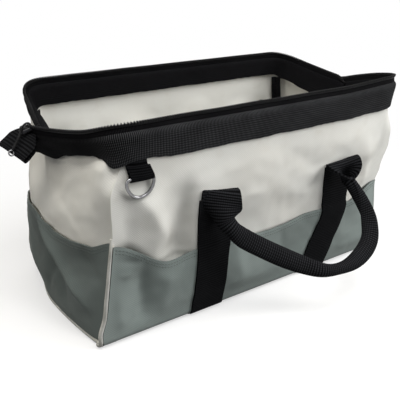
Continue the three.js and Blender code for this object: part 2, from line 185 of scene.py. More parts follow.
class Value:
    """A shader socket that takes part in sums."""

    def __init__(self, finish, socket):
        self.finish = finish
        self.socket = socket

    def maths(self, operation, *values):
        inputs = dict(enumerate(values))
        return self.finish.node("ShaderNodeMath", {"operation": operation}, inputs)

    __add__ = __radd__ = sums("ADD")
    __mul__ = __rmul__ = sums("MULTIPLY")
    __sub__ = sums("SUBTRACT")
    __rsub__ = sums("SUBTRACT", swapped=True)
    __pow__ = sums("POWER")

    def __abs__(self):
        return self.maths("ABSOLUTE", self)

    def sine(self):
        return self.maths("SINE", self)

    def clear(self, low, high):
        """0 below low, 1 above high."""
        values = {"Value": self, "From Min": low, "From Max": high}
        settings = {"interpolation_type": "SMOOTHSTEP"}
        return self.finish.node("ShaderNodeMapRange", settings, values)


class Finish:
    """A material, or the world, in the making."""

    def __init__(self, name, owner=None):
        self.material = owner or bpy.data.materials.new(name)
        self.material.use_nodes = True
        self.tree = self.material.node_tree
        self.shader = self.tree.nodes.get("Principled BSDF")

    def node(self, kind, settings, inputs, output=0):
        made = self.tree.nodes.new(kind)
        for name, value in settings.items():
            setattr(made, name, value)
        for name, value in inputs.items():
            self.join(made.inputs[name], value)
        return Value(self, made.outputs[output])

    def join(self, socket, value):
        if isinstance(value, Value):
            self.tree.links.new(value.socket, socket)
        else:
            socket.default_value = value

    def mix(self, share, first, second):
        settings = {"data_type": "RGBA", "clamp_factor": True}
        inputs = {0: share, 6: first, 7: second}
        return self.node("ShaderNodeMix", settings, inputs, output=2)

    def cloth_place(self):
        """Across and along the cloth, in metres, from the piece's own UV map."""
        uv = self.node("ShaderNodeTexCoord", {}, {}, output=2)
        return uv, self.split(uv, 0), self.split(uv, 1)

    def split(self, vector, part):
        return self.node("ShaderNodeSeparateXYZ", {}, {0: vector}, output=part)

    def object_place(self):
        return self.node("ShaderNodeTexCoord", {}, {}, output=3)

    def mottle(self, place, scale, detail=3.0):
        inputs = {"Vector": place, "Scale": scale, "Detail": detail}
        return self.node("ShaderNodeTexNoise", {"noise_dimensions": "3D"}, inputs)

    def bump(self, height, distance, strength=1.0):
        inputs = {"Height": height, "Distance": distance, "Strength": strength}
        return self.node("ShaderNodeBump", {}, inputs)

    def seen(self):
        """1 for what the camera sees straight, in a mirror or through glass."""
        kinds = [f"Is {ray} Ray" for ray in ("Camera", "Glossy", "Transmission")]
        straight, mirrored, through = (
            self.node("ShaderNodeLightPath", {}, {}, output=kind) for kind in kinds
        )
        return straight.maths("MAXIMUM", straight, mirrored.maths("MAXIMUM", mirrored, through))

    def surface(self, shader, output):
        self.join(self.tree.nodes[output].inputs["Surface"], shader)

    def set(self, **values):
        for name, value in values.items():
            self.join(self.shader.inputs[name.replace("_", " ")], value)
        return self.material


def tone(red, green, blue):
    """A colour as the eye names it, 0 to 255, turned into light."""
    parts = [c / 255 for c in (red, green, blue)]
    light = [c / 12.92 if c < 0.04 else ((c + 0.055) / 1.055) ** 2.4 for c in parts]
    return (*light, 1.0)


def canvas_finish(name, pale, deep, wear_and_highlight, pitch=0.0011):
    """Plain-woven canvas: over-and-under threads, slubs, and soft cloudy soiling."""
    f = Finish(name)
    uv, across, length = f.cloth_place()
    turn = math.pi / pitch
    threads = (across * turn).sine() * (length * turn).sine()
    slub = f.mottle(uv, 900.0, 2.0)
    cloud = f.mottle(f.object_place(), 13.0, 4.0)
    patch = f.mottle(f.object_place(), 55.0, 3.0)
    base = f.mix(cloud.clear(0.38, 0.68), pale, deep)
    base = f.mix(patch.clear(0.55, 0.8) * 0.3, base, wear_and_highlight)
    base = f.mix((threads * 0.5 + 0.5) * 0.10, base, deep)
    height = threads * 0.5 + slub * 0.6
    rough = 0.86 + patch * 0.1
    f.set(Base_Color=base, Roughness=rough, Normal=f.bump(height, 0.00022, 0.55))
    return f.set(Sheen_Weight=0.1, Sheen_Roughness=0.6, Specular_IOR_Level=0.08)


def webbing_finish(name, dark, lit, rib, cross, shaded_ends=None):
    """Heavy webbing: ribs across its length, split up by the warp; the rib crests are painted lighter
    as a painted highlight, stronger in patches, and when asked that highlight is held down towards a
    band's ends as painted shade.
    """
    f = Finish(name)
    uv, across, length = f.cloth_place()
    ribs = abs((length * (math.pi / rib)).sine())
    weft = (across * (2 * math.pi / cross)).sine() * 0.5 + 0.5
    highlight_patches = f.mottle(f.object_place(), 40.0, 4.0)
    fibre = f.mottle(uv, 1500.0, 2.0)
    cell = ribs.clear(0.35, 1.0) * (0.4 + weft.clear(0.2, 0.9) * 0.6)
    # Painted highlight on the rib crests, stronger in patches
    wear_and_highlight = cell * (0.4 + highlight_patches * 0.8)
    # Painted shade: the crest highlight is held down towards both ends of the band's length, on its
    # arms
    if shaded_ends:
        start, end, fade = shaded_ends
        middle = length.clear(start, start + fade) * (1 - length.clear(end - fade, end))
        wear_and_highlight = wear_and_highlight * (0.2 + middle * 0.8)
    base = f.mix(wear_and_highlight, dark, lit)
    height = ribs * 0.6 + cell * 0.7 + fibre * 0.25
    rough = 0.62 + fibre * 0.25
    f.set(Base_Color=base, Roughness=rough, Normal=f.bump(height, 0.0004, 0.7))
    return f.set(Specular_IOR_Level=0.02)


def steel_finish(name, bright, dull, rough):
    f = Finish(name)
    place = f.object_place()
    marks = f.mottle(place, 420.0, 5.0)
    stain = f.mottle(place, 60.0, 3.0)
    base = f.mix(stain.clear(0.5, 0.8) * 0.6, bright, dull)
    f.set(Base_Color=base, Roughness=rough + marks * 0.14, Metallic=1.0)
    return f.set(Normal=f.bump(marks, 0.00004, 0.4))


def nylon_finish(name, dark, lit):
    f = Finish(name)
    place = f.object_place()
    rub = f.mottle(place, 300.0, 3.0)
    base = f.mix(rub.clear(0.45, 0.8), dark, lit)
    f.set(Base_Color=base, Roughness=0.36 + rub * 0.2)
    return f.set(Normal=f.bump(rub, 0.00006, 0.5), Specular_IOR_Level=0.1)


def piping_finish(name, pale, deep):
    """Bias-cut tape round a cord: a fine diagonal twill."""
    f = Finish(name)
    place = f.object_place()
    slant = f.split(place, 0) + f.split(place, 1) + f.split(place, 2)
    twill = (slant * (2 * math.pi / 0.0016)).sine()
    cloud = f.mottle(place, 70.0, 3.0)
    base = f.mix(cloud.clear(0.4, 0.7), pale, deep)
    base = f.mix((twill * 0.5 + 0.5) * 0.12, base, deep)
    f.set(Base_Color=base, Roughness=0.75 + cloud * 0.15)
    return f.set(Normal=f.bump(twill, 0.0001, 0.5), Sheen_Weight=0.1)


white_canvas = canvas_finish(
    "off_white_canvas", tone(217, 217, 212), tone(209, 208, 202), tone(201, 198, 189)
)
grey_canvas = canvas_finish(
    "slate_canvas", tone(137, 147, 144), tone(124, 134, 131), tone(146, 155, 152)
)
# A darker copy of the slate canvas for the end pockets: painted shade
shaded_end_pocket_canvas = canvas_finish(
    "shaded_slate_canvas", tone(103, 112, 110), tone(91, 99, 97), tone(109, 117, 114)
)
# The lit tones are painted highlights on the rib crests, set per part: faint on the straps and zip
# tape, stronger on the grip, strongest on the mouth band
black_webbing = webbing_finish("black_webbing", tone(6, 6, 7), tone(34, 35, 37), 0.0022, 0.0018)
grip_webbing = webbing_finish("grip_webbing", tone(6, 6, 7), tone(50, 51, 54), 0.0026, 0.0018)
# The mouth band's arms, at both ends of its length, get painted shade
mouth_webbing = webbing_finish(
    "mouth_webbing", tone(4, 4, 5), tone(74, 75, 77), 0.0016, 0.0016, (0.07, 0.5, 0.055)
)
zip_cloth = webbing_finish("zip_tape_cloth", tone(6, 6, 7), tone(30, 30, 32), 0.0012, 0.0014)
zip_nylon = nylon_finish("zip_nylon", tone(7, 7, 8), tone(24, 24, 26))
zip_metal = steel_finish("blackened_zip_metal", tone(40, 40, 42), tone(24, 24, 26), 0.3)
bright_steel = steel_finish("polished_steel", tone(122, 122, 124), tone(76, 76, 78), 0.14)
grey_piping = piping_finish("pale_grey_piping", tone(190, 190, 185), tone(168, 168, 162))
white_welt = piping_finish("canvas_welt", tone(214, 211, 202), tone(203, 199, 189))
board_cloth = canvas_finish(
    "board_lining", tone(150, 147, 138), tone(134, 131, 122), tone(120, 117, 109), 0.0013
)
grey_thread = piping_finish("slate_thread", tone(84, 92, 90), tone(70, 78, 76))


# Modelling helpers
def deselect():
    if bpy.context.object and bpy.context.object.mode != "OBJECT":
        bpy.ops.object.mode_set(mode="OBJECT")
    bpy.ops.object.select_all(action="DESELECT")


def pick(obj):
    deselect()
    obj.select_set(True)
    bpy.context.view_layer.objects.active = obj


def modify(obj, kind, **settings):
    pick(obj)
    bpy.ops.object.modifier_add(type=kind)
    modifier = obj.modifiers[-1]
    for name, value in settings.items():
        setattr(modifier, name, value)
    bpy.ops.object.modifier_apply(modifier=modifier.name)


def soften(obj, angle=50):
    pick(obj)
    bpy.ops.object.shade_smooth_by_angle(angle=math.radians(angle))


def cloth(
    name, columns, rows, place, measure, facing, thick, material, offset=-1.0, edge=None, lining=None
):
    """A sheet: a grid whose points go where place(u, v) says, given its thickness."""
    deselect()
    bpy.ops.mesh.primitive_grid_add(x_subdivisions=columns, y_subdivisions=rows, size=1)
    obj = bpy.context.object
    obj.name = name
    obj.data.name = name
    mesh = obj.data
    spots = [(v.co.x + 0.5, v.co.y + 0.5) for v in mesh.vertices]
    for vertex, (u, v) in zip(mesh.vertices, spots):
        vertex.co = placed(place(u, v))
    layer = mesh.uv_layers[0].data
    cut = [Vector(measure(u, v)) * MM for u, v in spots]
    area = 0.0
    for face in mesh.polygons:
        corners = [cut[mesh.loops[i].vertex_index] for i in face.loop_indices]
        for i, corner in zip(face.loop_indices, corners):
            layer[i].uv = corner
        area += abs((corners[2] - corners[0]).cross(corners[3] - corners[1])) / 2
    mesh.update()
    turned = sum(face.normal.dot(facing) for face in mesh.polygons)
    if turned < 0:
        mesh.flip_normals()
    for layer_material in (material, edge or material, lining or material):
        mesh.materials.append(layer_material)
    modify(
        obj, "SOLIDIFY", thickness=thick * MM, offset=offset, material_offset_rim=1, material_offset=2
    )
    soften(obj)
    return obj


def tube(name, points, radius, material, closed=False, roundness=3, taper=1.0):
    """A round cord or wire along the points, its end taper times as thick as its start."""
    deselect()
    line = bpy.data.curves.new(name, "CURVE")
    line.dimensions = "3D"
    spline = line.splines.new("POLY")
    spline.points.add(len(points) - 1)
    for i, (spot, p) in enumerate(zip(spline.points, points)):
        spot.co = (*placed(p), 1.0)
        spot.radius = lerp(1.0, taper, i / (len(points) - 1))
    spline.use_cyclic_u = closed
    line.bevel_depth = radius * MM
    line.bevel_resolution = roundness
    line.use_fill_caps = True
    obj = bpy.data.objects.new(name, line)
    bpy.context.scene.collection.objects.link(obj)
    pick(obj)
    bpy.ops.object.convert(target="MESH")
    obj = bpy.context.object
    obj.data.materials.clear()
    obj.data.materials.append(material)
    soften(obj, 60)
    return obj


def copies(name, master, spots, material):
    """One mesh of many copies of the master, a spot being a matrix in metres."""
    points = []
    faces = []
    for spot in spots:
        start = len(points)
        points += [spot @ v.co for v in master.data.vertices]
        faces += [[start + i for i in f.vertices] for f in master.data.polygons]
    mesh = bpy.data.meshes.new(name)
    mesh.from_pydata(points, [], faces)
    mesh.update()
    bpy.data.objects.remove(master)
    obj = bpy.data.objects.new(name, mesh)
    bpy.context.scene.collection.objects.link(obj)
    mesh.materials.append(material)
    soften(obj, 40)
    return obj


def block(size, bevel, segments=2):
    """A box with rounded edges, at the origin, in mm."""
    deselect()
    bpy.ops.mesh.primitive_cube_add(size=1)
    obj = bpy.context.object
    bpy.ops.object.mode_set(mode="EDIT")
    bpy.ops.mesh.select_all(action="SELECT")
    bpy.ops.transform.resize(value=[c * MM for c in size])
    bpy.ops.mesh.bevel(offset=bevel * MM, segments=segments, affect="EDGES")
    bpy.ops.object.mode_set(mode="OBJECT")
    return obj


def stand_for(obj, slot, nodes):
    if nodes:
        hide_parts(*nodes)


def carry(obj, body, slot, *nodes):
    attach(obj, body)
    stand_for(obj, slot, nodes)


def follow(obj, near, far, share, slot, *nodes, by_length=False):
    """Bakes a piece into place, works out share(point or length, in mm) for its points and hides the
    parts it stands for; the shares are not applied, so nothing bends the piece, and near and far are
    not used.
    """
    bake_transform(obj)
    places = [v.co / MM for v in obj.data.vertices]
    if by_length:
        for loop, cut in zip(obj.data.loops, obj.data.uv_layers[0].data):
            places[loop.vertex_index] = cut.uv.y / MM
    shares = [share(place) for place in places]
    stand_for(obj, slot, nodes)


def ribbon_cut(half, long):
    """The flat place of a point of a straight ribbon."""
    return lambda u, v: ((u - 0.5) * 2 * half, v * long)


# Camera, at the photograph's viewing angle
YAW = math.radians(36.7)
PITCH = math.radians(23.9)
ROLL = math.radians(2.0)
CAMERA_AT = Vector((-0.416, -0.532, 0.374))
SENSOR = 36.0
FOCAL = 1.527 * SENSOR


def set_camera():
    level = Vector((math.cos(YAW), -math.sin(YAW), 0))
    flat = math.cos(PITCH)
    ahead = Vector((math.sin(YAW) * flat, math.cos(YAW) * flat, -math.sin(PITCH)))
    rising = level.cross(ahead)
    across = level * math.cos(ROLL) + rising * math.sin(ROLL)
    upright = rising * math.cos(ROLL) - level * math.sin(ROLL)
    lens = bpy.data.cameras.new("photo_camera")
    lens.sensor_fit = "HORIZONTAL"
    lens.sensor_width = SENSOR
    lens.lens = FOCAL
    lens.clip_start = 0.01
    camera = bpy.data.objects.new("photo_camera", lens)
    bpy.context.scene.collection.objects.link(camera)
    axes = Matrix((across, upright, -ahead)).transposed().to_4x4()
    camera.matrix_world = Matrix.Translation(CAMERA_AT) @ axes
    bpy.context.scene.camera = camera


set_camera()


# The walls
def wall_at(side, x, out, up):
    """A point of a wall: x along it, out from its plane, up it from the pivot line."""
    y = -PIVOT_Y - out * math.cos(LEAN) - up * math.sin(LEAN)
    z = PIVOT_Z - out * math.sin(LEAN) + up * math.cos(LEAN)
    return rounded(Vector((side * x, side * y, z)))


def half_length(up):
    """Half the wall's length at a height up it."""
    return lerp(HALF_LOW, HALF_RIM, up / (BAND_TOP - 2))


def half_depth(z):
    """Half the bag's depth at a height."""
    return PIVOT_Y + (z - PIVOT_Z) * math.tan(LEAN) - 0.4


def rounded(p):
    """Rounds the upright corners off towards the rim, where the band rounds them."""
    near_x = max(0.0, half_length(p.z - PIVOT_Z) - abs(p.x))
    near_y = max(0.0, half_depth(p.z) - abs(p.y))
    turn = 0.5 * max(0.0, 1 - (near_x + near_y) / CORNER_BEND)
    inset = CORNER_BEND * turn**2 * smooth(p.z, 156, 186)
    return p - Vector((math.copysign(inset, p.x), math.copysign(inset, p.y), 0))


# Folds of the wall cloth, front and rear: from (along, up), to (along, up), half width, height
FOLDS = {
    1: [
        (-160, 152, -128, 98, 15, 8.5), (-174, 168, -168, 150, 5, 2.5),
        (-180, 150, -173, 104, 8, -3.0), (-186, 62, -180, 12, 8, 3.5),
        (-160, 84, -154, 14, 11, -5.5), (-128, 75, -134, 10, 16, 4.0),
        (-187, 92, -166, 87, 3.5, -2.0), (-186, 76, -170, 73, 3.5, 1.6),
        (-20, 150, 40, 105, 20, 1.6), (20, 165, 70, 130, 16, -1.6),
        (-40, 128, -8, 122, 9, 1.4), (30, 112, 60, 104, 9, 1.4),
        (-45, 70, -30, 20, 12, 3.0), (20, 68, 36, 25, 12, -3.0),
        (140, 150, 160, 100, 14, 4.0), (173, 172, 166, 110, 8, -5.0),
    ],
    -1: [
        (-160, 152, -122, 92, 16, 7.0), (-110, 155, -104, 95, 13, -4.0),
        (-5, 160, 35, 100, 20, 4.0), (50, 160, 70, 110, 16, -3.5),
        (140, 160, 165, 105, 14, 5.0), (150, 70, 160, 15, 12, -4.0),
        (-150, 70, -160, 15, 12, 4.0),
    ],
}


def fold(a, b, line):
    """The height of one fold at a place; it fades past both ends of its line."""
    a0, b0, a1, b1, width, height = line
    da = a1 - a0
    db = b1 - b0
    length = math.hypot(da, db)
    t = ((a - a0) * da + (b - b0) * db) / length**2
    aside = ((a - a0) * db - (b - b0) * da) / length
    ends = smooth(t, -0.25, 0.3) * smooth(1.25 - t, 0, 0.55)
    crest = 0.25
    return height * ends * math.exp(crest - math.hypot(aside / width, crest))


def wall_relief(side, x, up):
    """How far the wall cloth stands out of its plane."""
    held = smooth(half_length(up) - abs(x), 0, 26) * smooth(BAND_LOW + 3 - up, 0, 40)
    held *= smooth(up, 0, 24)
    seed = 11.3 if side > 0 else 47.9
    broad = 3.2 * ripple(x / 80, up / 62, seed) + 1.3 * ripple(x / 31, up / 27, seed + 5)
    fine = 0.5 * ripple(x / 13, up / 12, seed + 9)
    folds = sum(fold(x, up, line) for line in FOLDS[side])
    return held * (2.0 + broad + fine + folds)


STRAP_HOLLOW = 13
CORNER_HOLLOW = 4


def hollow(side, x, up):
    """The front canvas sinks beside the left strap and behind the pocket's outer corner."""
    if side < 0:
        return 0.0
    beside = lerp(-98.5, -95, up / 132) - x
    sunk = hump(beside, -1, 18, 18, 50) * hump(up, 46, 84, 98, 170)
    corner = bell(x, -171, 11) * bell(up - wall_hem(side, x), -4, 7)
    return STRAP_HOLLOW * sunk + CORNER_HOLLOW * corner


# The grey wall pockets: from, to, most gape
POCKET_SPANS = {
    1: [(-186, -101, 5.0), (-50, 53, 2.5), (130, 186, 3.0)],
    -1: [(-186, -101, 5.0), (-50, 53, 6.0), (130, 186, 5.0)],
}
POCKET_END = 188
POCKET_HEM = 75
# How far the cloths lie out of the wall's plane, and a strap from the cloth under it
CANVAS_LIFT = 0.8
POCKET_LIFT = 2.7
STRAP_LIFT = 2.2


def wall_hem(side, x):
    """The height of the pocket's hem, which rises to the corners, most at the front left."""
    out = abs(x)
    rise = 28 if side > 0 > x else 17
    hem = POCKET_HEM + 4 * smooth(out, 0, 70) + rise * smooth(out, 128, POCKET_END)
    return hem + 1.2 * ripple(x / 40, 0.0, 3.7)


def corner_bow(up):
    """The upright seams bow outwards just above the floor."""
    return 3.2 * bell(up, 13, 12)


def pocket_gape(side, x, share):
    """How far a pocket stands open, share of the way up to its hem."""
    for low, high, most in POCKET_SPANS[side]:
        if low < x < high:
            return most * math.sin(math.pi * (x - low) / (high - low)) * smooth(share, 0.3, 1)
    return 0.0


def canvas_out(side, x, up):
    return CANVAS_LIFT + wall_relief(side, x, up) - hollow(side, x, up)


def pocket_out(side, x, up, station):
    gape = pocket_gape(side, station, up / wall_hem(side, station))
    return POCKET_LIFT + wall_relief(side, x, up) + gape


def skin_out(side, x, up):
    """The outermost cloth that a strap lies on."""
    hem = wall_hem(side, x)
    on_pocket = pocket_out(side, x, up, x)
    return lerp(on_pocket, canvas_out(side, x, up), smooth(up, hem - 2, hem + 7))


# Where the wall cloth starts to round the bottom edge, and where the corner cord does
TURN_UP = 4.0
TURN_RADIUS = 6.5
FOOT_UP = 6


def tucked(girth):
    """Height and inward shift of cloth that rounds the bottom edge."""
    if girth >= TURN_UP:
        return girth, 0.0
    angle = (TURN_UP - girth) / TURN_RADIUS
    if angle <= math.pi / 2:
        return TURN_UP - TURN_RADIUS * math.sin(angle), TURN_RADIUS * (math.cos(angle) - 1)
    flat = (angle - math.pi / 2) * TURN_RADIUS
    return TURN_UP - TURN_RADIUS, -TURN_RADIUS - flat


def base_share(p):
    """How much the wall's lower cloth follows the wall rather than the base."""
    return smooth(p.z, 3.5, 17)


# Middle lines of a wall's straps: along, girth
STRAP_LINES = {
    "left": [(-77, -14), (-76.5, 30), (-74, 90), (-73, 132)],
    "right": [(78.5, -14), (84.5, 25), (100.5, 62), (104.5, 85), (100.5, 132)],
}


def stitch_master():
    """One stitch, a slim bead."""
    deselect()
    bpy.ops.mesh.primitive_uv_sphere_add(segments=6, ring_count=4, radius=MM)
    obj = bpy.context.object
    for v in obj.data.vertices:
        v.co = Vector((v.co.x * 1.35, v.co.y * 0.34, v.co.z * 0.34))
    return obj


def stitch_spots(line, outward):
    """Places for stitches along a line of points in mm."""
    spots = []
    spare = 0.0
    for p, q in zip(line, line[1:]):
        ahead = (q - p).normalized()
        side = outward.cross(ahead).normalized()
        turn = Matrix((ahead, side, ahead.cross(side))).transposed().to_4x4()
        while spare < (q - p).length:
            spots.append(Matrix.Translation(placed(p + ahead * spare)) @ turn)
            spare += STITCH_PITCH
        spare -= (q - p).length
    return spots


def hem_stitches(name, hem_spot, count, outward):
    """Two rows of stitches; hem_spot(t, drop) is a point so far along and below the hem."""
    rows = []
    for drop in STITCH_DROPS:
        rows += stitch_spots([hem_spot(i / count, drop) for i in range(count + 1)], outward)
    return copies(name, stitch_master(), rows, grey_thread)


def sew_strap(side_name, strap_name, world_name):
    """A webbing strap that runs from under the base up to the handle's end."""
    side = SIDES[side_name]
    line = STRAP_LINES[strap_name]
    long = sum(math.dist(a, b) for a, b in zip(line, line[1:]))

    def strap_spot(u, v):
        x, girth = along(line, v)
        up, shift = tucked(girth)
        across = (u - 0.5) * 2 * lerp(STRAP_HALF, STRAP_HALF + 2, smooth(up, 40, 120))
        under = skin_out(side, x + across, max(up, 0))
        return wall_at(side, x + across, under + STRAP_LIFT + shift, up)

    strap = cloth(
        f"{side_name}_{world_name}_webbing", 16, 70, strap_spot, ribbon_cut(STRAP_HALF, long),
        Vector((0, -side, 0)), STRAP_THICK, black_webbing,
    )
    node = f"{side_name}_{world_name}_strap"
    follow(strap, "base", f"{side_name}_wall", base_share, "webbing_black", node)


def sew_corner(side_name, sign, world_name):
    """An upright corner seam: piping and welt outside, binding inside."""
    side = SIDES[side_name]
    wall = f"{side_name}_wall"
    corner = f"{side_name}_{world_name}"
    proud = 1.0 if corner == "front_left" else 0.0
    hidden = 0.7 if corner == "rear_left" else 0.0
    top = lerp(90, 114, proud)

    def seam_spot(up):
        stands = proud * (1 - smooth(up, top - 12, top))
        x = sign * (half_length(up) + lerp(0.4, 1.8, stands) + corner_bow(up))
        out = lerp(-0.6, 1.8, stands) + 0.6 * ripple(up / 30, sign, side * 2.0)
        return wall_at(side, x, out, up)

    # The cord's foot bends under to meet the cord along the floor
    foot = seam_spot(FOOT_UP)
    seam = []
    for degrees in range(90, 0, -15):
        angle = math.radians(degrees)
        under = 1 - math.cos(angle)
        seam.append(foot + Vector((0, TURN_RADIUS * side * under, -TURN_RADIUS * math.sin(angle))))
    seam += [seam_spot(lerp(FOOT_UP, top, i / 40)) for i in range(41)]
    cord = tube(f"{corner}_corner_piping", seam, PIPING_RADIUS, grey_piping, taper=0.6)
    follow(cord, "base", wall, base_share, "piping_grey", f"{corner}_piping")
    inset = Vector((sign * side * 2.2, -side * 0.6, 0))
    seam = [seam_spot(lerp(106, BAND_LOW - 2, i / 40)) - inset for i in range(41)]
    welt = tube(f"{corner}_corner_welt", seam, WELT_RADIUS, white_welt)
    carry(welt, wall, "canvas_white")

    def binding_spot(u, v):
        up = lerp(8, BAND_LOW + 2, v)
        wide = lerp(0.4, 1, smooth(up, 8, 40)) - hidden * smooth(up, 110, 140)
        onto_end = (2 * u - 1) * wide
        inset = 5.4 + 3.6 * smooth(up, 140, 172)
        x = sign * (half_length(up) - inset - 6 * max(0.0, -onto_end))
        sag = 0.4 * ripple(up / 25, u, 8.1 + sign)
        return wall_at(side, x, 2.2 - inset + sag - 10 * max(0.0, onto_end), up)

    def binding_cut(u, v):
        return u * 16, v * 176

    inward = Vector((0, side, 0))
    tape = cloth(
        f"{corner}_seam_tape", 8, 60, binding_spot, binding_cut, inward, BINDING_THICK, black_webbing
    )
    carry(tape, wall, "webbing_black", f"{corner}_binding")


def sew_wall(side_name):
    side = SIDES[side_name]
    wall = f"{side_name}_wall"
    panel = f"{side_name}_canvas_panel"
    outward = Vector((0, -side, 0))

    def canvas_cut(u, v):
        up = lerp(3, BAND_TOP - 3, v)
        return lerp(-1, 1, u) * half_length(up), up

    def canvas_spot(u, v):
        x, up = canvas_cut(u, v)
        below = wall_hem(side, x) - up
        behind = 3.0 * smooth(below, 0.5, 9) * (1 - 0.6 * smooth(below, 12, 60))
        return wall_at(side, x, canvas_out(side, x, up) - behind, up)

    canvas = cloth(panel, 132, 84, canvas_spot, canvas_cut, outward, WALL_THICK, white_canvas)
    carry(canvas, wall, "canvas_white", f"{side_name}_canvas")

    def pocket_girth(u, v):
        station = lerp(-POCKET_END, POCKET_END, u)
        return station, lerp(-13, wall_hem(side, station), v)

    def pocket_spot(u, v):
        station, girth = pocket_girth(u, v)
        up, shift = tucked(girth)
        hem = wall_hem(side, station)
        edge = half_length(max(up, 0)) + 0.4 + corner_bow(up)
        x = station * edge / (half_length(hem) + 0.4)
        return wall_at(side, x, pocket_out(side, x, max(up, 0), station) + shift, up)

    pocket = cloth(
        f"{side_name}_pocket_panel", 140, 44, pocket_spot, pocket_girth, outward, POCKET_THICK,
        # The pocket's cut edges take the dark thread colour: a painted shadow line along the hem
        grey_canvas, edge=grey_thread,
    )
    follow(pocket, "base", wall, base_share, "canvas_grey", f"{side_name}_pocket")

    def hem_spot(t, drop):
        station = lerp(-POCKET_END + 3, POCKET_END - 3, t)
        hem = wall_hem(side, station)
        up = hem - drop
        x = station * (half_length(up) + 0.4) / (half_length(hem) + 0.4)
        return wall_at(side, x, pocket_out(side, x, up, station) + STITCH_LIFT, up)

    stitches = hem_stitches(f"{side_name}_hem_stitches", hem_spot, 180, outward)
    carry(stitches, wall, "canvas_grey")

    # The wall's own left and right, by their names in the world
    near, far = ("left", "right") if side > 0 else ("right", "left")
    for strap_name, world_name in (("left", near), ("right", far)):
        sew_strap(side_name, strap_name, world_name)
    for sign, world_name in ((-1, near), (1, far)):
        sew_corner(side_name, sign, world_name)


for name in SIDES:
    sew_wall(name)


# The ends
def arm_z(y):
    """The height of the frame's arm over a place across the end."""
    return RIM_Z - (RIM_Z - HINGE_Z) * max(0.0, 1 - abs(y) / RIM_Y)


# Folds of the end cloth, left and right: from (y, z), to (y, z), half width, height
END_FOLDS = {
    -1: [
        (-17, 113, -25, 137, 6, 1.5), (-25, 137, -46, 163, 6, 1.4),
        (-46, 163, -75, 178, 6, 1.0), (-16, 150, -60, 116, 9, -1.0),
        (46, 165, 40, 118, 11, 1.2), (30, 150, 20, 116, 7, -0.8),
        (-2, 106, -70, 40, 8, 10.0), (22, 92, -30, 26, 13, -7.0),
        (-8, 62, 14, 14, 7, -3.0), (-66, 94, -86, 66, 7, -3.0),
        (58, 90, 40, 25, 13, 4.0),
    ],
    1: [
        (-30, 170, 50, 118, 12, 4.0), (8, 165, 30, 112, 9, -3.5),
        (50, 178, 75, 115, 12, 4.0), (-64, 175, -40, 120, 9, -3.0),
        (20, 108, 70, 26, 12, 7.0), (-40, 95, -65, 25, 12, 5.0),
        (0, 90, 10, 25, 14, -4.0),
    ],
}
# The end pocket's hem, from the front seam (-1) to the rear seam (1)
END_HEM = [
    (-1, 112), (-0.8, 104), (-0.5, 102), (-0.32, 103), (-0.18, 108), (0, 112), (0.33, 110),
    (0.85, 102), (1, 99),
]


def end_hem(share):
    """The height of the end pocket's hem."""
    return table(END_HEM, share)


def end_relief(sign, y, z):
    """How far folds and ripples stand out of the end cloth."""
    share = abs(y) / half_depth(z)
    held = smooth(1 - share, 0, 0.22) * smooth(z, 0, 18) * smooth(arm_z(y) - 14 - z, 0, 26)
    seed = 23.1 if sign < 0 else 71.7
    broad = 1.6 * ripple(y / 60, z / 55, seed) + 0.9 * ripple(y / 24, z / 22, seed + 4)
    fine = 0.5 * ripple(y / 11, z / 10, seed + 8)
    folds = sum(fold(y, z, line) for line in END_FOLDS[sign])
    calm = lerp(1.0, 0.55, smooth(z, 104, 124))
    return held * (1.5 + calm * broad + fine + folds)


def end_bow(y, z):
    """The end bows out over the floor and at the hem of its pocket."""
    low = 1 - smooth(z, 30, 110)
    belly = 10 * bell(z, 112, 36)
    return (8 * low + belly) * max(0.0, 1 - (y / 90) ** 2)


def end_out(sign, y, z):
    """How far the end canvas lies from the middle of the bag."""
    share = y / half_depth(z)
    bow = (REACH[1] - CORNER_X) * ((z - PIVOT_Z) / (BAND_TOP + 9))
    plain = half_length(z - PIVOT_Z) + 0.5 + bow * (1 - share**2) - 2.2 * smooth(abs(share), 0.8, 1)
    inward = max(0.0, 1 - abs(y) / RIM_Y)
    reach = lerp(204, 207 if y < 0 else 200.5, smooth(abs(y), 2, 14))
    leaning = 0.36 * min(arm_z(y) - z, 14) * smooth(inward, 0, 0.4)
    held = lerp(CORNER_X, reach, inward) + 0.8 - leaning
    near_arm = smooth(z, arm_z(y) - 72, arm_z(y) - 14) * smooth(1 - abs(share), 0, 0.15)
    return lerp(plain, held, near_arm) + end_relief(sign, y, z) + end_bow(y, z)


def end_pocket_gape(share, rise):
    """How far the end pocket stands open, rise going from the floor (0) to its hem (1)."""
    return 2.2 * max(0.0, math.cos(share * math.pi / 2)) ** 0.7 * smooth(rise, 0.35, 1)


# The end cloth turns about the rim corner like a fan, from the wall's line up to the arm
FAN_COLUMNS = 44
GUSSET_COLUMNS = 32
FAN_START = math.atan2(PIVOT_Z - RIM_Z, RIM_Y - PIVOT_Y)
ARM_LINE = math.atan2(HINGE_Z - RIM_Z, RIM_Y)
FAN_END = ARM_LINE - 0.09
FAN_RADIUS = 96.5
FAN_INNER = 0.05
# Flat half widths of the end canvas and pocket, how far the gusset hangs behind the pocket,
# and how far the pocket lies out from the canvas
END_CUT = 96
END_POCKET_CUT = 94
GUSSET_UNDER = 14
END_POCKET_LIFT = 1.8


def fan_share(p):
    """How much the cloth at the ends follows the folding frame rather than the wall."""
    inward = RIM_Y - abs(p.y)
    rise = p.z - RIM_Z
    if inward <= 0:
        return smooth(rise, -2, 6)
    turned = (math.atan2(rise, inward) - FAN_START) / (ARM_LINE - FAN_START)
    return min(1.0, max(0.0, turned))


def corner_share(p):
    """The same for the mouth band, which is held by the wall between the corners."""
    return smooth(abs(p.x), 166, 182) * fan_share(p)


def end_share(p):
    """How much the end's lower cloth follows the wall rather than the base."""
    return min(1.0, abs(p.y) / half_depth(p.z)) * base_share(p)


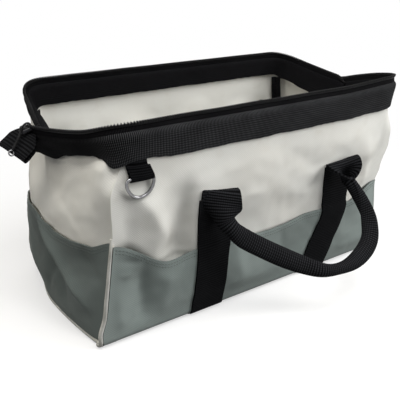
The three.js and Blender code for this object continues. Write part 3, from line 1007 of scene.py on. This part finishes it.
def fan_place(turn, reach):
    """Share of the half end and height of a point on the fan between wall (0) and arm (1)."""
    split = GUSSET_COLUMNS / FAN_COLUMNS
    angle = lerp(FAN_START, FAN_END, turn)
    to_middle = RIM_Y / math.cos(lerp(FAN_START, FAN_END, max(turn, split)))
    radius = reach * lerp(FAN_RADIUS, to_middle, smooth(turn, 0.56, split))
    z = RIM_Z + radius * math.sin(angle)
    seam = lerp(PIVOT_Y, RIM_Y, (z - PIVOT_Z) / (RIM_Z - PIVOT_Z))
    return (RIM_Y - radius * math.cos(angle)) / seam, z


def end_canvas_at(sign, share, z):
    """A point of the end canvas, share going from the middle (0) to the seams (-1 and 1)."""
    y = share * (half_depth(z) + 0.6)
    hem = end_hem(share)
    behind = 2.5 * (1 - smooth(z, hem - 9, hem - 0.5))
    if sign > 0:
        # The right end is dimpled below the hinge
        behind += 5.5 * bell(y, 0, 18) * bell(z, 130, 17)
    return rounded(Vector((sign * (end_out(sign, y, z) - behind), y, z)))


def end_pocket_at(sign, share, z, proud, shift=0.0):
    """A point of the end pocket, which gapes towards its hem."""
    y = share * (half_depth(z) - 0.5)
    gape = end_pocket_gape(share, z / end_hem(share))
    return Vector((sign * (end_out(sign, y, z) + proud + gape + shift), y, z))


def sew_half_end(end_name, side_name):
    """The half of an end that belongs to one wall: fan, gusset, pocket and stitches."""
    sign = ENDS[end_name]
    side = SIDES[side_name]
    outward = Vector((sign, 0, 0))
    wall = f"{side_name}_wall"
    half = f"{end_name}_{side_name}_end"
    canvas_node = f"{end_name}_end_canvas"

    def fan_cut(u, v):
        share, z = fan_place(u, lerp(FAN_INNER, 1, v))
        return share * END_CUT, z

    def fan_spot(u, v):
        share, z = fan_place(u, lerp(FAN_INNER, 1, v))
        return end_canvas_at(sign, -side * share, z)

    fan = cloth(
        f"{half}_fan", FAN_COLUMNS, 44, fan_spot, fan_cut, outward, END_THICK, white_canvas
    )
    follow(fan, wall, f"{side_name}_frame", fan_share, "canvas_white", canvas_node)

    def gusset_cut(u, v):
        share, top = fan_place(u * GUSSET_COLUMNS / FAN_COLUMNS, 1)
        return share * END_CUT, lerp(end_hem(-side * share) - GUSSET_UNDER, top, v)

    def gusset_spot(u, v):
        wide, z = gusset_cut(u, v)
        return end_canvas_at(sign, -side * wide / END_CUT, z)

    gusset = cloth(
        f"{half}_gusset", GUSSET_COLUMNS, 24, gusset_spot, gusset_cut, outward, END_THICK, white_canvas
    )
    follow(gusset, "base", wall, end_share, "canvas_white", canvas_node)

    def pocket_girth(u, v):
        share = -side * u
        return share, lerp(-12, end_hem(share), v)

    def pocket_spot(u, v):
        share, girth = pocket_girth(u, v)
        up, shift = tucked(girth - PIVOT_Z)
        z = max(up, TURN_UP - TURN_RADIUS + 0.2) + PIVOT_Z
        return end_pocket_at(sign, share, z, END_POCKET_LIFT, shift)

    def pocket_cut(u, v):
        share, girth = pocket_girth(u, v)
        return share * END_POCKET_CUT, girth

    # The end pocket takes the darker copy of the slate canvas, painted shade
    pocket = cloth(
        f"{half}_pocket", 44, 46, pocket_spot, pocket_cut, outward, POCKET_THICK, shaded_end_pocket_canvas,
        # The pocket's cut edges take the dark thread colour: a painted shadow line along the hem
        edge=grey_thread, lining=white_canvas,
    )
    follow(pocket, "base", wall, end_share, "canvas_grey", f"{end_name}_end_pocket")

    def hem_spot(t, drop):
        share = -side * lerp(0.01, 0.97, t)
        proud = END_POCKET_LIFT + STITCH_LIFT
        return end_pocket_at(sign, share, end_hem(share) - drop, proud)

    stitches = hem_stitches(f"{half}_stitches", hem_spot, 80, outward)
    follow(stitches, "base", wall, end_share, "canvas_grey")


def sew_end(end_name):
    for side_name in SIDES:
        sew_half_end(end_name, side_name)
    line = []
    for i in range(61):
        y = lerp(-PIVOT_Y + 1, PIVOT_Y - 1, i / 60)
        x = HALF_LOW + 0.7 + end_bow(y, 3)
        line.append(Vector((ENDS[end_name] * x, y, FLOOR_PIPING_Z)))
    cord = tube(f"{end_name}_floor_piping", line, FLOOR_PIPING_RADIUS, grey_piping)
    carry(cord, "base", "piping_grey", f"{end_name}_base_piping")


for name in ENDS:
    sew_end(name)


# The base: heights of the underside and straps, and how far out the straps run
UNDERSIDE_Z = 2.6
UNDER_STRAP_Z = 0.2
UNDER_STRAP_X = 78


def sew_base():
    def panel_spot(u, v):
        y = lerp(-1, 1, v) * (PIVOT_Y + 1)
        end = HALF_LOW - 4 + end_bow(y, 3)
        return Vector((lerp(-1, 1, u) * end, y, UNDERSIDE_Z))

    def panel_cut(u, v):
        return lerp(-1, 1, u) * HALF_LOW, lerp(-1, 1, v) * PIVOT_Y

    panel = cloth("base_underside", 60, 30, panel_spot, panel_cut, -UP, END_THICK, grey_canvas)
    carry(panel, "base", "canvas_grey", "base_panel")

    low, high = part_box("base_board")
    board = block([(h - l) / MM for l, h in zip(low, high)], 1.2, 3)
    board.name = "base_board_lined"
    middle = (Vector(low) + Vector(high)) / 2
    for v in board.data.vertices:
        v.co += middle
    layer = board.data.uv_layers[0].data
    for loop in board.data.loops:
        co = board.data.vertices[loop.vertex_index].co
        layer[loop.index].uv = (co.x, co.y)
    board.data.materials.append(board_cloth)
    soften(board, 40)
    carry(board, "base", "board_grey", "base_board")

    for end_name, sign in ENDS.items():
        def strap_spot(u, v, sign=sign):
            y = lerp(-1, 1, v) * (PIVOT_Y - 1)
            x = sign * UNDER_STRAP_X + (u - 0.5) * 2 * STRAP_HALF
            return Vector((x, y, UNDER_STRAP_Z))

        strap = cloth(
            f"{end_name}_under_strap", 8, 30, strap_spot, ribbon_cut(STRAP_HALF, 180), -UP, 1.0,
            black_webbing,
        )
        carry(strap, "base", "webbing_black", f"{end_name}_base_strap")


sew_base()


# The mouth: a band folded over the frame wire, carrying the zip
def arm_sway(side, p):
    """The front arms arch on the right and sag on the left, and the rear right one levels out."""
    arm = max(0.0, 1 + p.y / RIM_Y)
    bow = math.sin(math.pi * min(1.0, arm))
    if side > 0:
        return 2.5 * bow if p.x > 0 else -4.0 * bow
    return 1.5 * smooth(arm, 0.7, 1.06) if p.x < 0 else 0.0


# A place on the frame wire: its point, outward and upward directions, distance from the left
# end, and how far forward it lies (1 at the wall, 0 at the hinge)
Station = namedtuple("Station", "at out rise far toward")


def mouth_path(side, steps):
    """The stations of a frame wire's line, as seen from the front."""
    corner = Vector((-CORNER_X, -RIM_Y, RIM_Z))
    end = Vector((-REACH[side], 0, HINGE_Z))
    arm = (end - corner).normalized()
    stop = (end - corner).length + (12 if side > 0 else 7)
    raw = [corner + arm * lerp(stop, CORNER_BEND, i / 30) for i in range(30)]
    a = corner + arm * CORNER_BEND
    b = corner + Vector((CORNER_BEND, 0, 0))
    for i in range(12):
        t = i / 12
        raw.append(a * (1 - t) ** 2 + corner * 2 * t * (1 - t) + b * t**2)
    span = CORNER_X - CORNER_BEND
    raw += [Vector((lerp(-span, 0, i / steps), -RIM_Y, RIM_Z)) for i in range(steps)]
    mirrored = [Vector((-p.x, p.y, p.z)) for p in raw]
    raw.append(Vector((0, -RIM_Y, RIM_Z)))
    raw += mirrored[::-1]
    raw = [p + UP * arm_sway(side, p) for p in raw]
    wall_up = Vector((0, -math.sin(LEAN), math.cos(LEAN)))
    stations = []
    distance = 0.0
    for i, p in enumerate(raw):
        before = raw[max(i - 1, 0)]
        after = raw[min(i + 1, len(raw) - 1)]
        ahead = (after - before).normalized()
        share = smooth(p.y, -RIM_Y, -RIM_Y + 30)
        arm_up = Vector((math.copysign(math.sin(ARM_TILT), p.x), 0, math.cos(ARM_TILT)))
        rise = wall_up.lerp(arm_up, share)
        rise = (rise - ahead * rise.dot(ahead)).normalized()
        distance += (p - before).length
        stations.append(Station(p, ahead.cross(rise), rise, distance, -p.y / RIM_Y))
    return stations


def turn_rear(side, p):
    """Half a turn for what belongs to the rear wall."""
    return p if side > 0 else Vector((-p.x, -p.y, p.z))


# The mouth band's flat width and thickness, and where its inner leaf starts, which is coloured darker
# as painted shade
BAND_CUT = 62
BAND_THICK = 1.1
BAND_FOLD = 35
# The outer hem below the wire, from the rim corner (0) to the hinge (1)
ARM_HEM = [
    (0, -23), (0.04, -24), (0.1, -24.5), (0.2, -14.5), (0.3, -10), (0.45, -9.5), (0.6, -11.5),
    (0.78, -17), (0.9, -16), (1, -14), (1.13, -9),
]
# The same on the right-hand end
FAR_ARM_HEM = [(0, -23), (0.1, -20), (0.35, -13), (0.6, -13), (0.85, -15), (1, -13), (1.13, -9)]


def band_section(side, station):
    """The folded band's section: (out, up) from the wire, outer hem to inner hem."""
    p = station.at
    edge = p.x if side > 0 else -p.x
    wave = 0.9 * ripple(edge / 22, p.y / 22, 5.5 + side) + 0.5 * ripple(edge / 6, p.y / 6, 2.2)
    arm = max(0.0, 1 - station.toward)
    at_left = p.x * side < 0
    low = table(ARM_HEM if at_left else FAR_ARM_HEM, arm) + wave
    if side > 0:
        low += 3.0 * bell(p.x, -152, 24) * (1 - smooth(arm, 0.0, 0.1))
    deep = lerp(-17.0, -20.0, smooth(arm, 0.0, 0.12)) + wave
    deep *= 1 - 0.5 * smooth(arm, 0.95, 1.13)
    if side < 0 and at_left:
        low *= 1 - 0.75 * smooth(arm, 0.9, 1.06)
        deep *= 1 - 0.75 * smooth(arm, 0.9, 1.06)
    slack = 2.2 * smooth(arm, 0.1, 0.5) * ripple(edge / 15, p.y / 19, 9.3 + side)
    corner = smooth(abs(p.x), 155, 180) * (1 - smooth(arm, 0.25, 0.5))
    outer = lerp(4.8, 3.4, smooth(arm, 0.3, 0.9)) - 1.6 * corner
    inner = lerp(3.0, 2.8, arm)
    return [
        (outer + 0.4 + slack, low),
        (outer + 0.2 + 0.6 * slack, low * 0.66),
        (outer, low * 0.33),
        (outer - 0.1, 0.0),
        (outer - 0.7, 2.6),
        (outer - 2.0, 4.2),
        (0.2, 4.6),
        (-inner + 0.9, 4.0),
        (-inner, 1.6),
        (-inner, -4.0),
        (-inner - 0.1, deep * 0.5),
        (-inner - 0.3, deep),
    ]


# The zip: heights of its tape above the wire, the tape's flat width and thickness, its coil and
# teeth; and the frame wire
TAPE_LOW = 4.0
TAPE_TOP = 10.6
TAPE_CUT = 7
TAPE_THICK = 1.0
COIL_RADIUS = 1.25
TOOTH_PITCH = 2.6
TOOTH_SIZE = (1.3, 3.2, 2.2)
FIRST_TOOTH = 6.0
WIRE_RADIUS = 1.9


def sew_mouth(side_name):
    side = SIDES[side_name]
    facing = Vector((0, -side, 0))
    stations = mouth_path(side, 70)
    last = len(stations) - 1

    def bend(obj, slot, *nodes):
        follow(obj, f"{side_name}_wall", f"{side_name}_frame", corner_share, slot, *nodes)

    def station_at(u):
        return stations[round(u * last)]

    def swept(station, out, up):
        return turn_rear(side, station.at + station.out * out + station.rise * up)

    def band_spot(u, v):
        station = station_at(u)
        return swept(station, *along(band_section(side, station), v))

    def band_cut(u, v):
        return v * BAND_CUT, station_at(u).far

    band = cloth(
        f"{side_name}_mouth_webbing", last, 44, band_spot, band_cut, facing, BAND_THICK,
        mouth_webbing, 0.0,
    )
    # The inner leaf below the wire takes the darker zip-tape cloth: painted shade on the band's inside
    band.data.materials.append(zip_cloth)
    shaded_inner_leaf = len(band.data.materials) - 1
    cut = band.data.uv_layers[0].data
    for face in band.data.polygons:
        if cut[face.loop_indices[0]].uv.x > BAND_FOLD * MM:
            face.material_index = shaded_inner_leaf
    bands = [f"{side_name}_{part}_band" for part in ("mouth", "left_arm", "right_arm")]
    bend(band, "webbing_black", *bands)

    def tape_profile(station):
        lean_in = 0.4 + 0.8 * ripple(station.far / 40, side, 1.9)
        tall = TAPE_TOP - 4 * smooth(1 - station.toward, 0.92, 1.06) * (side < 0)
        middle = lerp(TAPE_LOW, tall, 0.64)
        return [
            (0.4, TAPE_LOW), (0.2, lerp(TAPE_LOW, tall, 0.3)), (-lean_in, middle),
            (-lean_in - 0.2, tall),
        ]

    def tape_spot(u, v):
        station = station_at(u)
        return swept(station, *along(tape_profile(station), v))

    def tape_cut(u, v):
        return v * TAPE_CUT, station_at(u).far

    tape = cloth(
        f"{side_name}_zip_tape_cloth", last, 6, tape_spot, tape_cut, facing, TAPE_THICK, zip_cloth, 0.0
    )
    bend(tape, "zip_black", f"{side_name}_zip_tape")

    def tape_roll(station):
        out, up = tape_profile(station)[-1]
        return swept(station, out, up + 0.4)

    coil = tube(f"{side_name}_zip_coil", [tape_roll(s) for s in stations], COIL_RADIUS, zip_nylon)
    bend(coil, "zip_black")

    spots = []
    want = FIRST_TOOTH
    for a, b in zip(stations, stations[1:]):
        while want < b.far:
            t = (want - a.far) / (b.far - a.far)
            foot = tape_roll(a).lerp(tape_roll(b), t)
            ahead = (tape_roll(b) - tape_roll(a)).normalized()
            rise = turn_rear(side, a.rise)
            across = ahead.cross(rise).normalized()
            turn = Matrix((ahead, across, across.cross(ahead) * -1)).transposed().to_4x4()
            spots.append(Matrix.Translation(placed(foot + rise * 1.1)) @ turn)
            want += TOOTH_PITCH
    teeth = copies(f"{side_name}_zip_teeth_row", block(TOOTH_SIZE, 0.35, 1), spots, zip_nylon)
    bend(teeth, "zip_black", f"{side_name}_zip_teeth")

    line = [turn_rear(side, station.at) for station in stations]
    wire = tube(f"{side_name}_wire", line, WIRE_RADIUS, bright_steel)
    bend(wire, "steel", f"{side_name}_frame_wire")


for name in SIDES:
    sew_mouth(name)


# D-rings and the loops they hang in; their place along the wall, out from it and up it
RING_X = -161.5
RING_OUT = 4.4
RING_UP = 171
RING_RADIUS = 1.5
# Half the ring's outline from the middle of its bar: aside, down
RING_HALF = [
    (0, 0), (5, 0), (10, 0), (12.4, 0.6), (13.5, 3), (13.4, 6.6), (12.1, 10.9), (9.2, 15), (5, 17.9),
]
LOOP_SECTION = [
    (1.6, BAND_LOW + 6), (1.7, BAND_LOW - 2), (1.8, 173), (2.2, 169.6), (4.4, 167.9), (6.6, 169.6),
    (7.2, 173), (6.9, 178), (6.6, BAND_LOW - 1.0),
]


def sew_ring(side_name):
    side = SIDES[side_name]
    middle = wall_at(1, RING_X, RING_OUT, RING_UP)
    left = [(-aside, down) for aside, down in RING_HALF]
    bow = left[2:] + [(0, 18.9)] + RING_HALF[:0:-1] + left[:3]
    points = []
    for i in range(96):
        aside, down = along(bow, i / 96)
        points.append(turn_rear(side, Vector((middle.x + aside, middle.y, middle.z - down))))
    ring = tube(f"{side_name}_ring_wire", points, RING_RADIUS, bright_steel, closed=True, roundness=4)
    carry(ring, f"{side_name}_ring", "steel", f"{side_name}_d_ring")

    def loop_spot(u, v):
        out, up = along(LOOP_SECTION, v)
        x = RING_X + (u - 0.5) * 24 + lerp(-4.5, 1.0, smooth(BAND_LOW - up, -2, 15))
        return wall_at(side, x, out + 0.5 * ripple(u * 2, v * 3, 6.6 + side), up)

    loop = cloth(
        f"{side_name}_ring_webbing", 12, 36, loop_spot, ribbon_cut(12.5, 38), Vector((0, -side, 0)),
        1.2, black_webbing, 0.0,
    )
    carry(loop, f"{side_name}_wall", "webbing_black", f"{side_name}_ring_loop")


for name in SIDES:
    sew_ring(name)


# Handles: webbing folded lengthwise into a grip, opening out to the sewn straps
HANDLE_LINE = [
    (-69, 17, 36), (-58, 22.5, 46.5), (-41, 30, 58), (-21.3, 39, 70), (-1.2, 49, 80.7),
    (17, 61.4, 87.7), (36.6, 64.6, 92.3), (60, 64.8, 92.6), (83, 61.1, 87.2), (100, 54.5, 77.8),
    (109, 44.7, 63.9), (110, 35.3, 50.4), (107, 25.5, 36.5), (101.5, 16.6, 23.8),
]
# Where the flat of the folded grip faces
GRIP_FACE = Vector((-0.45, -0.7, 0.55)).normalized()
# Sewn ends: along the wall, out from the strap's middle, up
LEFT_CURL = [(-73, 0, 120), (-73, 0, 133), (-73.2, 1.2, 138), (-74, 3.6, 140.5), (-75, 6, 139)]
LEFT_FLAP = [(-75.6, 8.5, 132.5), (-75.4, 11, 122), (-73.6, 13.5, 112)]
RIGHT_FLAP = [(101, 16, 118), (98.5, 16, 128)]
RIGHT_CURL = [(96.6, 13, 136), (96.6, 8.8, 139), (98.4, 4.2, 138.6), (100, 0.8, 133.5), (100.5, 0, 122)]


GRIP_STEPS = 240
FINE_STEPS = 3000
# How far the webbing is rolled up each way in the grip
GRIP_ROLL = math.radians(196)
# Stretches where the webbing changes, in mm from its start or, for the second of a pair, its end
ROLL_UP = (32, 70)
UNROLL = (22, 50)
TWIST_IN = (34, 100)
TWIST_OUT = (50, 120)
PRESS_IN = (46, 84)
PRESS_OUT = (50, 100)
# The same from either end: where it slants, lies sewn flat, swings with the grip, is near the wall
SLANTED = (8, 20, 34, 56)
SEWN = (24, 44)
SWINGS = (13, 46)
NEAR_WALL = 110


def handle_route(side):
    """Points of a handle's middle line, as seen from its own side."""
    axis = joint_at["front_handle_swing"]

    def sewn(line):
        return [wall_at(1, x, out + skin_out(side, x, up) + 1.2, up) for x, out, up in line]

    hanging = [Vector((x, axis.y - out, axis.z - down)) for x, out, down in HANDLE_LINE]
    return sewn(LEFT_CURL + LEFT_FLAP) + hanging + sewn(RIGHT_FLAP + RIGHT_CURL)


def even_steps(route, count):
    """Points an equal distance apart along a smooth line, and its length."""
    fine = [Vector(along(route, i / FINE_STEPS)) for i in range(FINE_STEPS + 1)]
    lengths = [0.0]
    for a, b in zip(fine, fine[1:]):
        lengths.append(lengths[-1] + (b - a).length)
    points = []
    j = 0
    for i in range(count + 1):
        want = lengths[-1] * i / count
        while j < FINE_STEPS - 1 and lengths[j + 1] < want:
            j += 1
        t = (want - lengths[j]) / max(lengths[j + 1] - lengths[j], 1e-9)
        points.append(fine[j].lerp(fine[j + 1], min(max(t, 0), 1)))
    return points, lengths[-1]


def rolled(t, bend):
    """Where a point t from the middle of a ribbon goes when it is rolled up by bend each way."""
    if bend < 0.01:
        return t, 0.0
    lap = 0.95 * (t / STRAP_HALF) * smooth(bend, 2.4, 3.2)
    radius = STRAP_HALF / bend
    angle = t / radius
    return (radius + lap) * math.sin(angle), radius - (radius + lap) * math.cos(angle)


def sew_handle(side_name):
    side = SIDES[side_name]
    points, long = even_steps(handle_route(side), GRIP_STEPS)
    along_x = Vector((1, 0, 0))
    across = along_x.copy()
    frames = []
    for i, p in enumerate(points):
        ahead = (points[min(i + 1, GRIP_STEPS)] - points[max(i - 1, 0)]).normalized()
        across = (across - ahead * across.dot(ahead)).normalized()
        wide = ahead.cross(GRIP_FACE).normalized()
        frames.append((p, across.copy(), ahead.cross(across), wide, wide.cross(ahead)))
    _, last_across, last_out, _, _ = frames[-1]
    end_twist = math.atan2(along_x.dot(last_out), along_x.dot(last_across)) % (2 * math.pi)

    def handle_spot(u, v):
        i = round(v * GRIP_STEPS)
        p, a, n, wide, thin = frames[i]
        s = long * i / GRIP_STEPS
        to_go = long - s
        closed = smooth(s, *ROLL_UP) * smooth(to_go, *UNROLL)
        bend = GRIP_ROLL * closed + 0.02
        grip_twist = math.atan2(-wide.dot(a), wide.dot(n)) % (2 * math.pi)
        twist = lerp(0, grip_twist, smooth(s, *TWIST_IN))
        twist = lerp(end_twist, twist, smooth(to_go, *TWIST_OUT))
        t = (u - 0.5) * 2 * STRAP_HALF
        x, h = rolled(t, bend)
        middle = sum(rolled(k * STRAP_HALF / 4, bend)[1] for k in range(-4, 5)) / 9
        h = middle - h
        offset = a * (x * math.cos(twist) - h * math.sin(twist))
        offset += n * (x * math.sin(twist) + h * math.cos(twist))
        slant = 0.26 * hump(s, *SLANTED) + 0.12 * hump(to_go, *SLANTED)
        droop = Vector((0, 0, -t * slant))
        pressed = closed * smooth(s, *PRESS_IN) * smooth(to_go, *PRESS_OUT)
        edge_on = bell(p.x, 42, 30)
        spread = lerp(1.0, 1.5 - 0.62 * edge_on + 0.1 * ripple(s / 50, side, 2.0), pressed)
        squeeze = lerp(1.0, 0.55 + 0.4 * edge_on + 0.08 * ripple(s / 45, side, 7.0), pressed)
        offset = wide * offset.dot(wide) * spread + thin * offset.dot(thin) * squeeze
        spot = p + offset + droop
        to_end = min(s, to_go)
        sewn = 1 - smooth(to_end, *SEWN)
        up = (spot.z - PIVOT_Z) / math.cos(LEAN)
        if sewn > 0:
            spot.y -= sewn * (skin_out(side, spot.x, up) - skin_out(side, p.x, up))
        if to_end < NEAR_WALL:
            out = (-PIVOT_Y - spot.y) / math.cos(LEAN) - up * math.tan(LEAN)
            spot.y -= max(0.0, skin_out(side, spot.x, up) + 1.1 - out)
        return turn_rear(side, spot)

    grip = cloth(
        f"{side_name}_handle_webbing", 28, GRIP_STEPS, handle_spot, ribbon_cut(STRAP_HALF, long),
        Vector((0, -side, 0)), GRIP_THICK, grip_webbing, 0.0,
    )

    def grip_share(s):
        return smooth(s, *SWINGS) * smooth(long - s, *SWINGS)

    follow(
        grip, f"{side_name}_wall", f"{side_name}_grip", grip_share, "webbing_black",
        f"{side_name}_handle", by_length=True,
    )


for name in SIDES:
    sew_handle(name)


# Zip ends: a folded webbing tab that droops from each hinge
TAB_HALF_WIDE = 20
TAB_SECTION = [
    (6, 3.5), (0, 2.6), (-4, -0.6), (-10, -5.2), (-15.8, -9.4), (-17.8, -11.8), (-16.6, -13.2),
    (-13.4, -11.6), (-7.6, -7.2), (-1.6, -3.0), (4, 0.2),
]


def zip_end_place(sign, x, y, z):
    """A point of a zip end: x inwards from the hinge, z up from it; the front corner hangs."""
    hinge = joint_at["left_zip_end_level"]
    twisted = Vector((x - 0.2 * y, y, z + 0.14 * y))
    turned = twisted if sign < 0 else Vector((-twisted.x, -twisted.y, twisted.z))
    return turned + Vector((sign * abs(hinge.x), 0, hinge.z + 2))


def sew_zip_end(end_name):
    sign = ENDS[end_name]

    def tab_spot(u, v):
        x, z = along(TAB_SECTION, v)
        pinch = lerp(1.0, 0.5, smooth(x, -7, 4))
        y = (u - 0.5) * 2 * TAB_HALF_WIDE * pinch
        sway = 1.2 * ripple(u * 2.2, x / 20, 4.4 + sign)
        curl = 1.6 * (2 * u - 1) ** 2 * smooth(-x, 0, 16)
        return zip_end_place(sign, x, y, z + sway - curl)

    tab = cloth(
        f"{end_name}_tab_webbing", 24, 48, tab_spot, ribbon_cut(TAB_HALF_WIDE, 50), UP, 1.2,
        black_webbing, 0.0,
    )
    carry(tab, f"{end_name}_zip_end", "webbing_black", f"{end_name}_zip_tab")


for name in ENDS:
    sew_zip_end(name)


def make_slider():
    obj = block((11, 9, 4.2), 1.2, 3)
    obj.name = "zip_slider_body"
    for v in obj.data.vertices:
        p = v.co / MM
        waist = 1 - 0.22 * bell(p.x, 0, 3.0)
        taper = lerp(0.78, 1.0, smooth(p.x, -5.5, 2))
        v.co = placed(zip_end_place(-1, p.x - 0.5, p.y * waist * taper, p.z + 6.4 + 0.35 * p.x))
    obj.data.materials.append(zip_metal)
    soften(obj, 40)
    carry(obj, "left_zip_end", "zip_metal", "zip_slider")
    arch = [(3.6, 9.6), (3.2, 11.2), (1.0, 12.2), (-2.0, 11.2), (-4.8, 8.4), (-5.6, 6.0)]
    points = [along(arch, i / 24) for i in range(25)]
    line = [zip_end_place(-1, x, 0, z) for x, z in points]
    bridge = tube("zip_slider_bridge", line, 0.9, zip_metal)
    carry(bridge, "left_zip_end", "zip_metal")


PULL_LINE = [
    (-3.4, 0.6, 9.2), (-5.6, 0.0, 8.4), (-7.6, -2.0, 4.4), (-11.2, -4.0, 0.2), (-15.2, -5.5, -4.2),
    (-19.0, -6.5, -8.6),
]


def make_pull():
    strands = []
    for shift in (-0.6, 0.6):
        points = [along(PULL_LINE, i / 40) for i in range(41)]
        strands.append([zip_end_place(-1, x, y + shift, z) for x, y, z in points])
    loop = strands[0] + strands[1][::-1]
    pull = tube("zip_pull_cord", loop, 0.9, zip_nylon, closed=True)

    def pull_share(p):
        start = settle(zip_end_place(-1, *PULL_LINE[0]))
        return smooth((p - start).length, 2, 12)

    follow(pull, "left_zip_end", "pull", pull_share, "zip_black", "zip_pull")
    x, y, z = PULL_LINE[-1]
    hoop = []
    for i in range(40):
        a = 2 * math.pi * i / 40
        hoop.append(zip_end_place(-1, x + 2.4 * math.cos(a) - 1.2, y, z + 2.6 * math.sin(a) - 2.0))
    ring = tube("zip_pull_ring", hoop, 0.7, bright_steel, closed=True)
    carry(ring, "pull", "steel")


make_slider()
make_pull()

# Carried-over steel
for end_name in ENDS:
    rivet = frame["nodes"][f"{end_name}_hinge_rivet"]
    rivet.data.materials.clear()
    rivet.data.materials.append(bright_steel)


# Floor, light and background
WHITE = (1, 1, 1, 1)
WORLD_LIGHT = 0.36
# Lamps: name, place, size, power, colour
LAMPS = [
    ("key_lamp", (1.1, -0.95, 0.75), 0.8, 18.2, (1.0, 0.99, 0.97)),
    ("top_lamp", (0.0, -0.5, 1.2), 0.6, 8.4, (1.0, 1.0, 1.0)),
    ("left_lamp", (-1.1, 0.18, 0.5), 0.4, 1.9, (1.0, 0.94, 0.84)),
    ("over_lamp", (-0.38, -0.05, 0.95), 0.4, 3.6, (1.0, 0.95, 0.86)),
]
LAMP_AIM = Vector((0, 0, 0.1))


def light_stage():
    deselect()
    bpy.ops.mesh.primitive_plane_add(size=8, location=(0, 0, -0.0005))
    floor = bpy.context.object
    floor.name = "studio_floor"
    f = Finish("studio_white")
    place = f.object_place()
    across = f.split(place, 0)
    deep = f.split(place, 1)
    distance = (across * across + deep * deep) ** 0.5
    seen = f.seen()
    base = f.mix(seen, tone(70, 70, 70), tone(250, 250, 250))
    f.set(Base_Color=base, Roughness=0.9, Specular_IOR_Level=0.0)
    glow = f.node("ShaderNodeEmission", {}, {"Color": WHITE, "Strength": 1.0})
    shader = Value(f, f.shader.outputs[0])
    share = seen * (0.5 + distance.clear(0.24, 0.62) * 0.5)
    f.surface(f.node("ShaderNodeMixShader", {}, {0: share, 1: shader, 2: glow}), "Material Output")
    floor.data.materials.append(f.material)

    world = bpy.data.worlds.new("studio_world")
    bpy.context.scene.world = world
    w = Finish(world.name, world)
    dim = w.node("ShaderNodeBackground", {}, {"Color": WHITE, "Strength": WORLD_LIGHT})
    shown = w.node("ShaderNodeBackground", {}, {"Color": WHITE, "Strength": 1.0})
    w.surface(w.node("ShaderNodeMixShader", {}, {0: w.seen(), 1: dim, 2: shown}), "World Output")

    for lamp_name, spot, size, power, colour in LAMPS:
        lamp = bpy.data.lights.new(lamp_name, "AREA")
        lamp.color = colour
        lamp.energy = power
        lamp.size = size
        obj = bpy.data.objects.new(lamp_name, lamp)
        bpy.context.scene.collection.objects.link(obj)
        obj.location = spot
        obj.rotation_euler = (LAMP_AIM - Vector(spot)).to_track_quat("-Z", "Y").to_euler()


light_stage()
bpy.context.scene.view_settings.view_transform = "Standard"
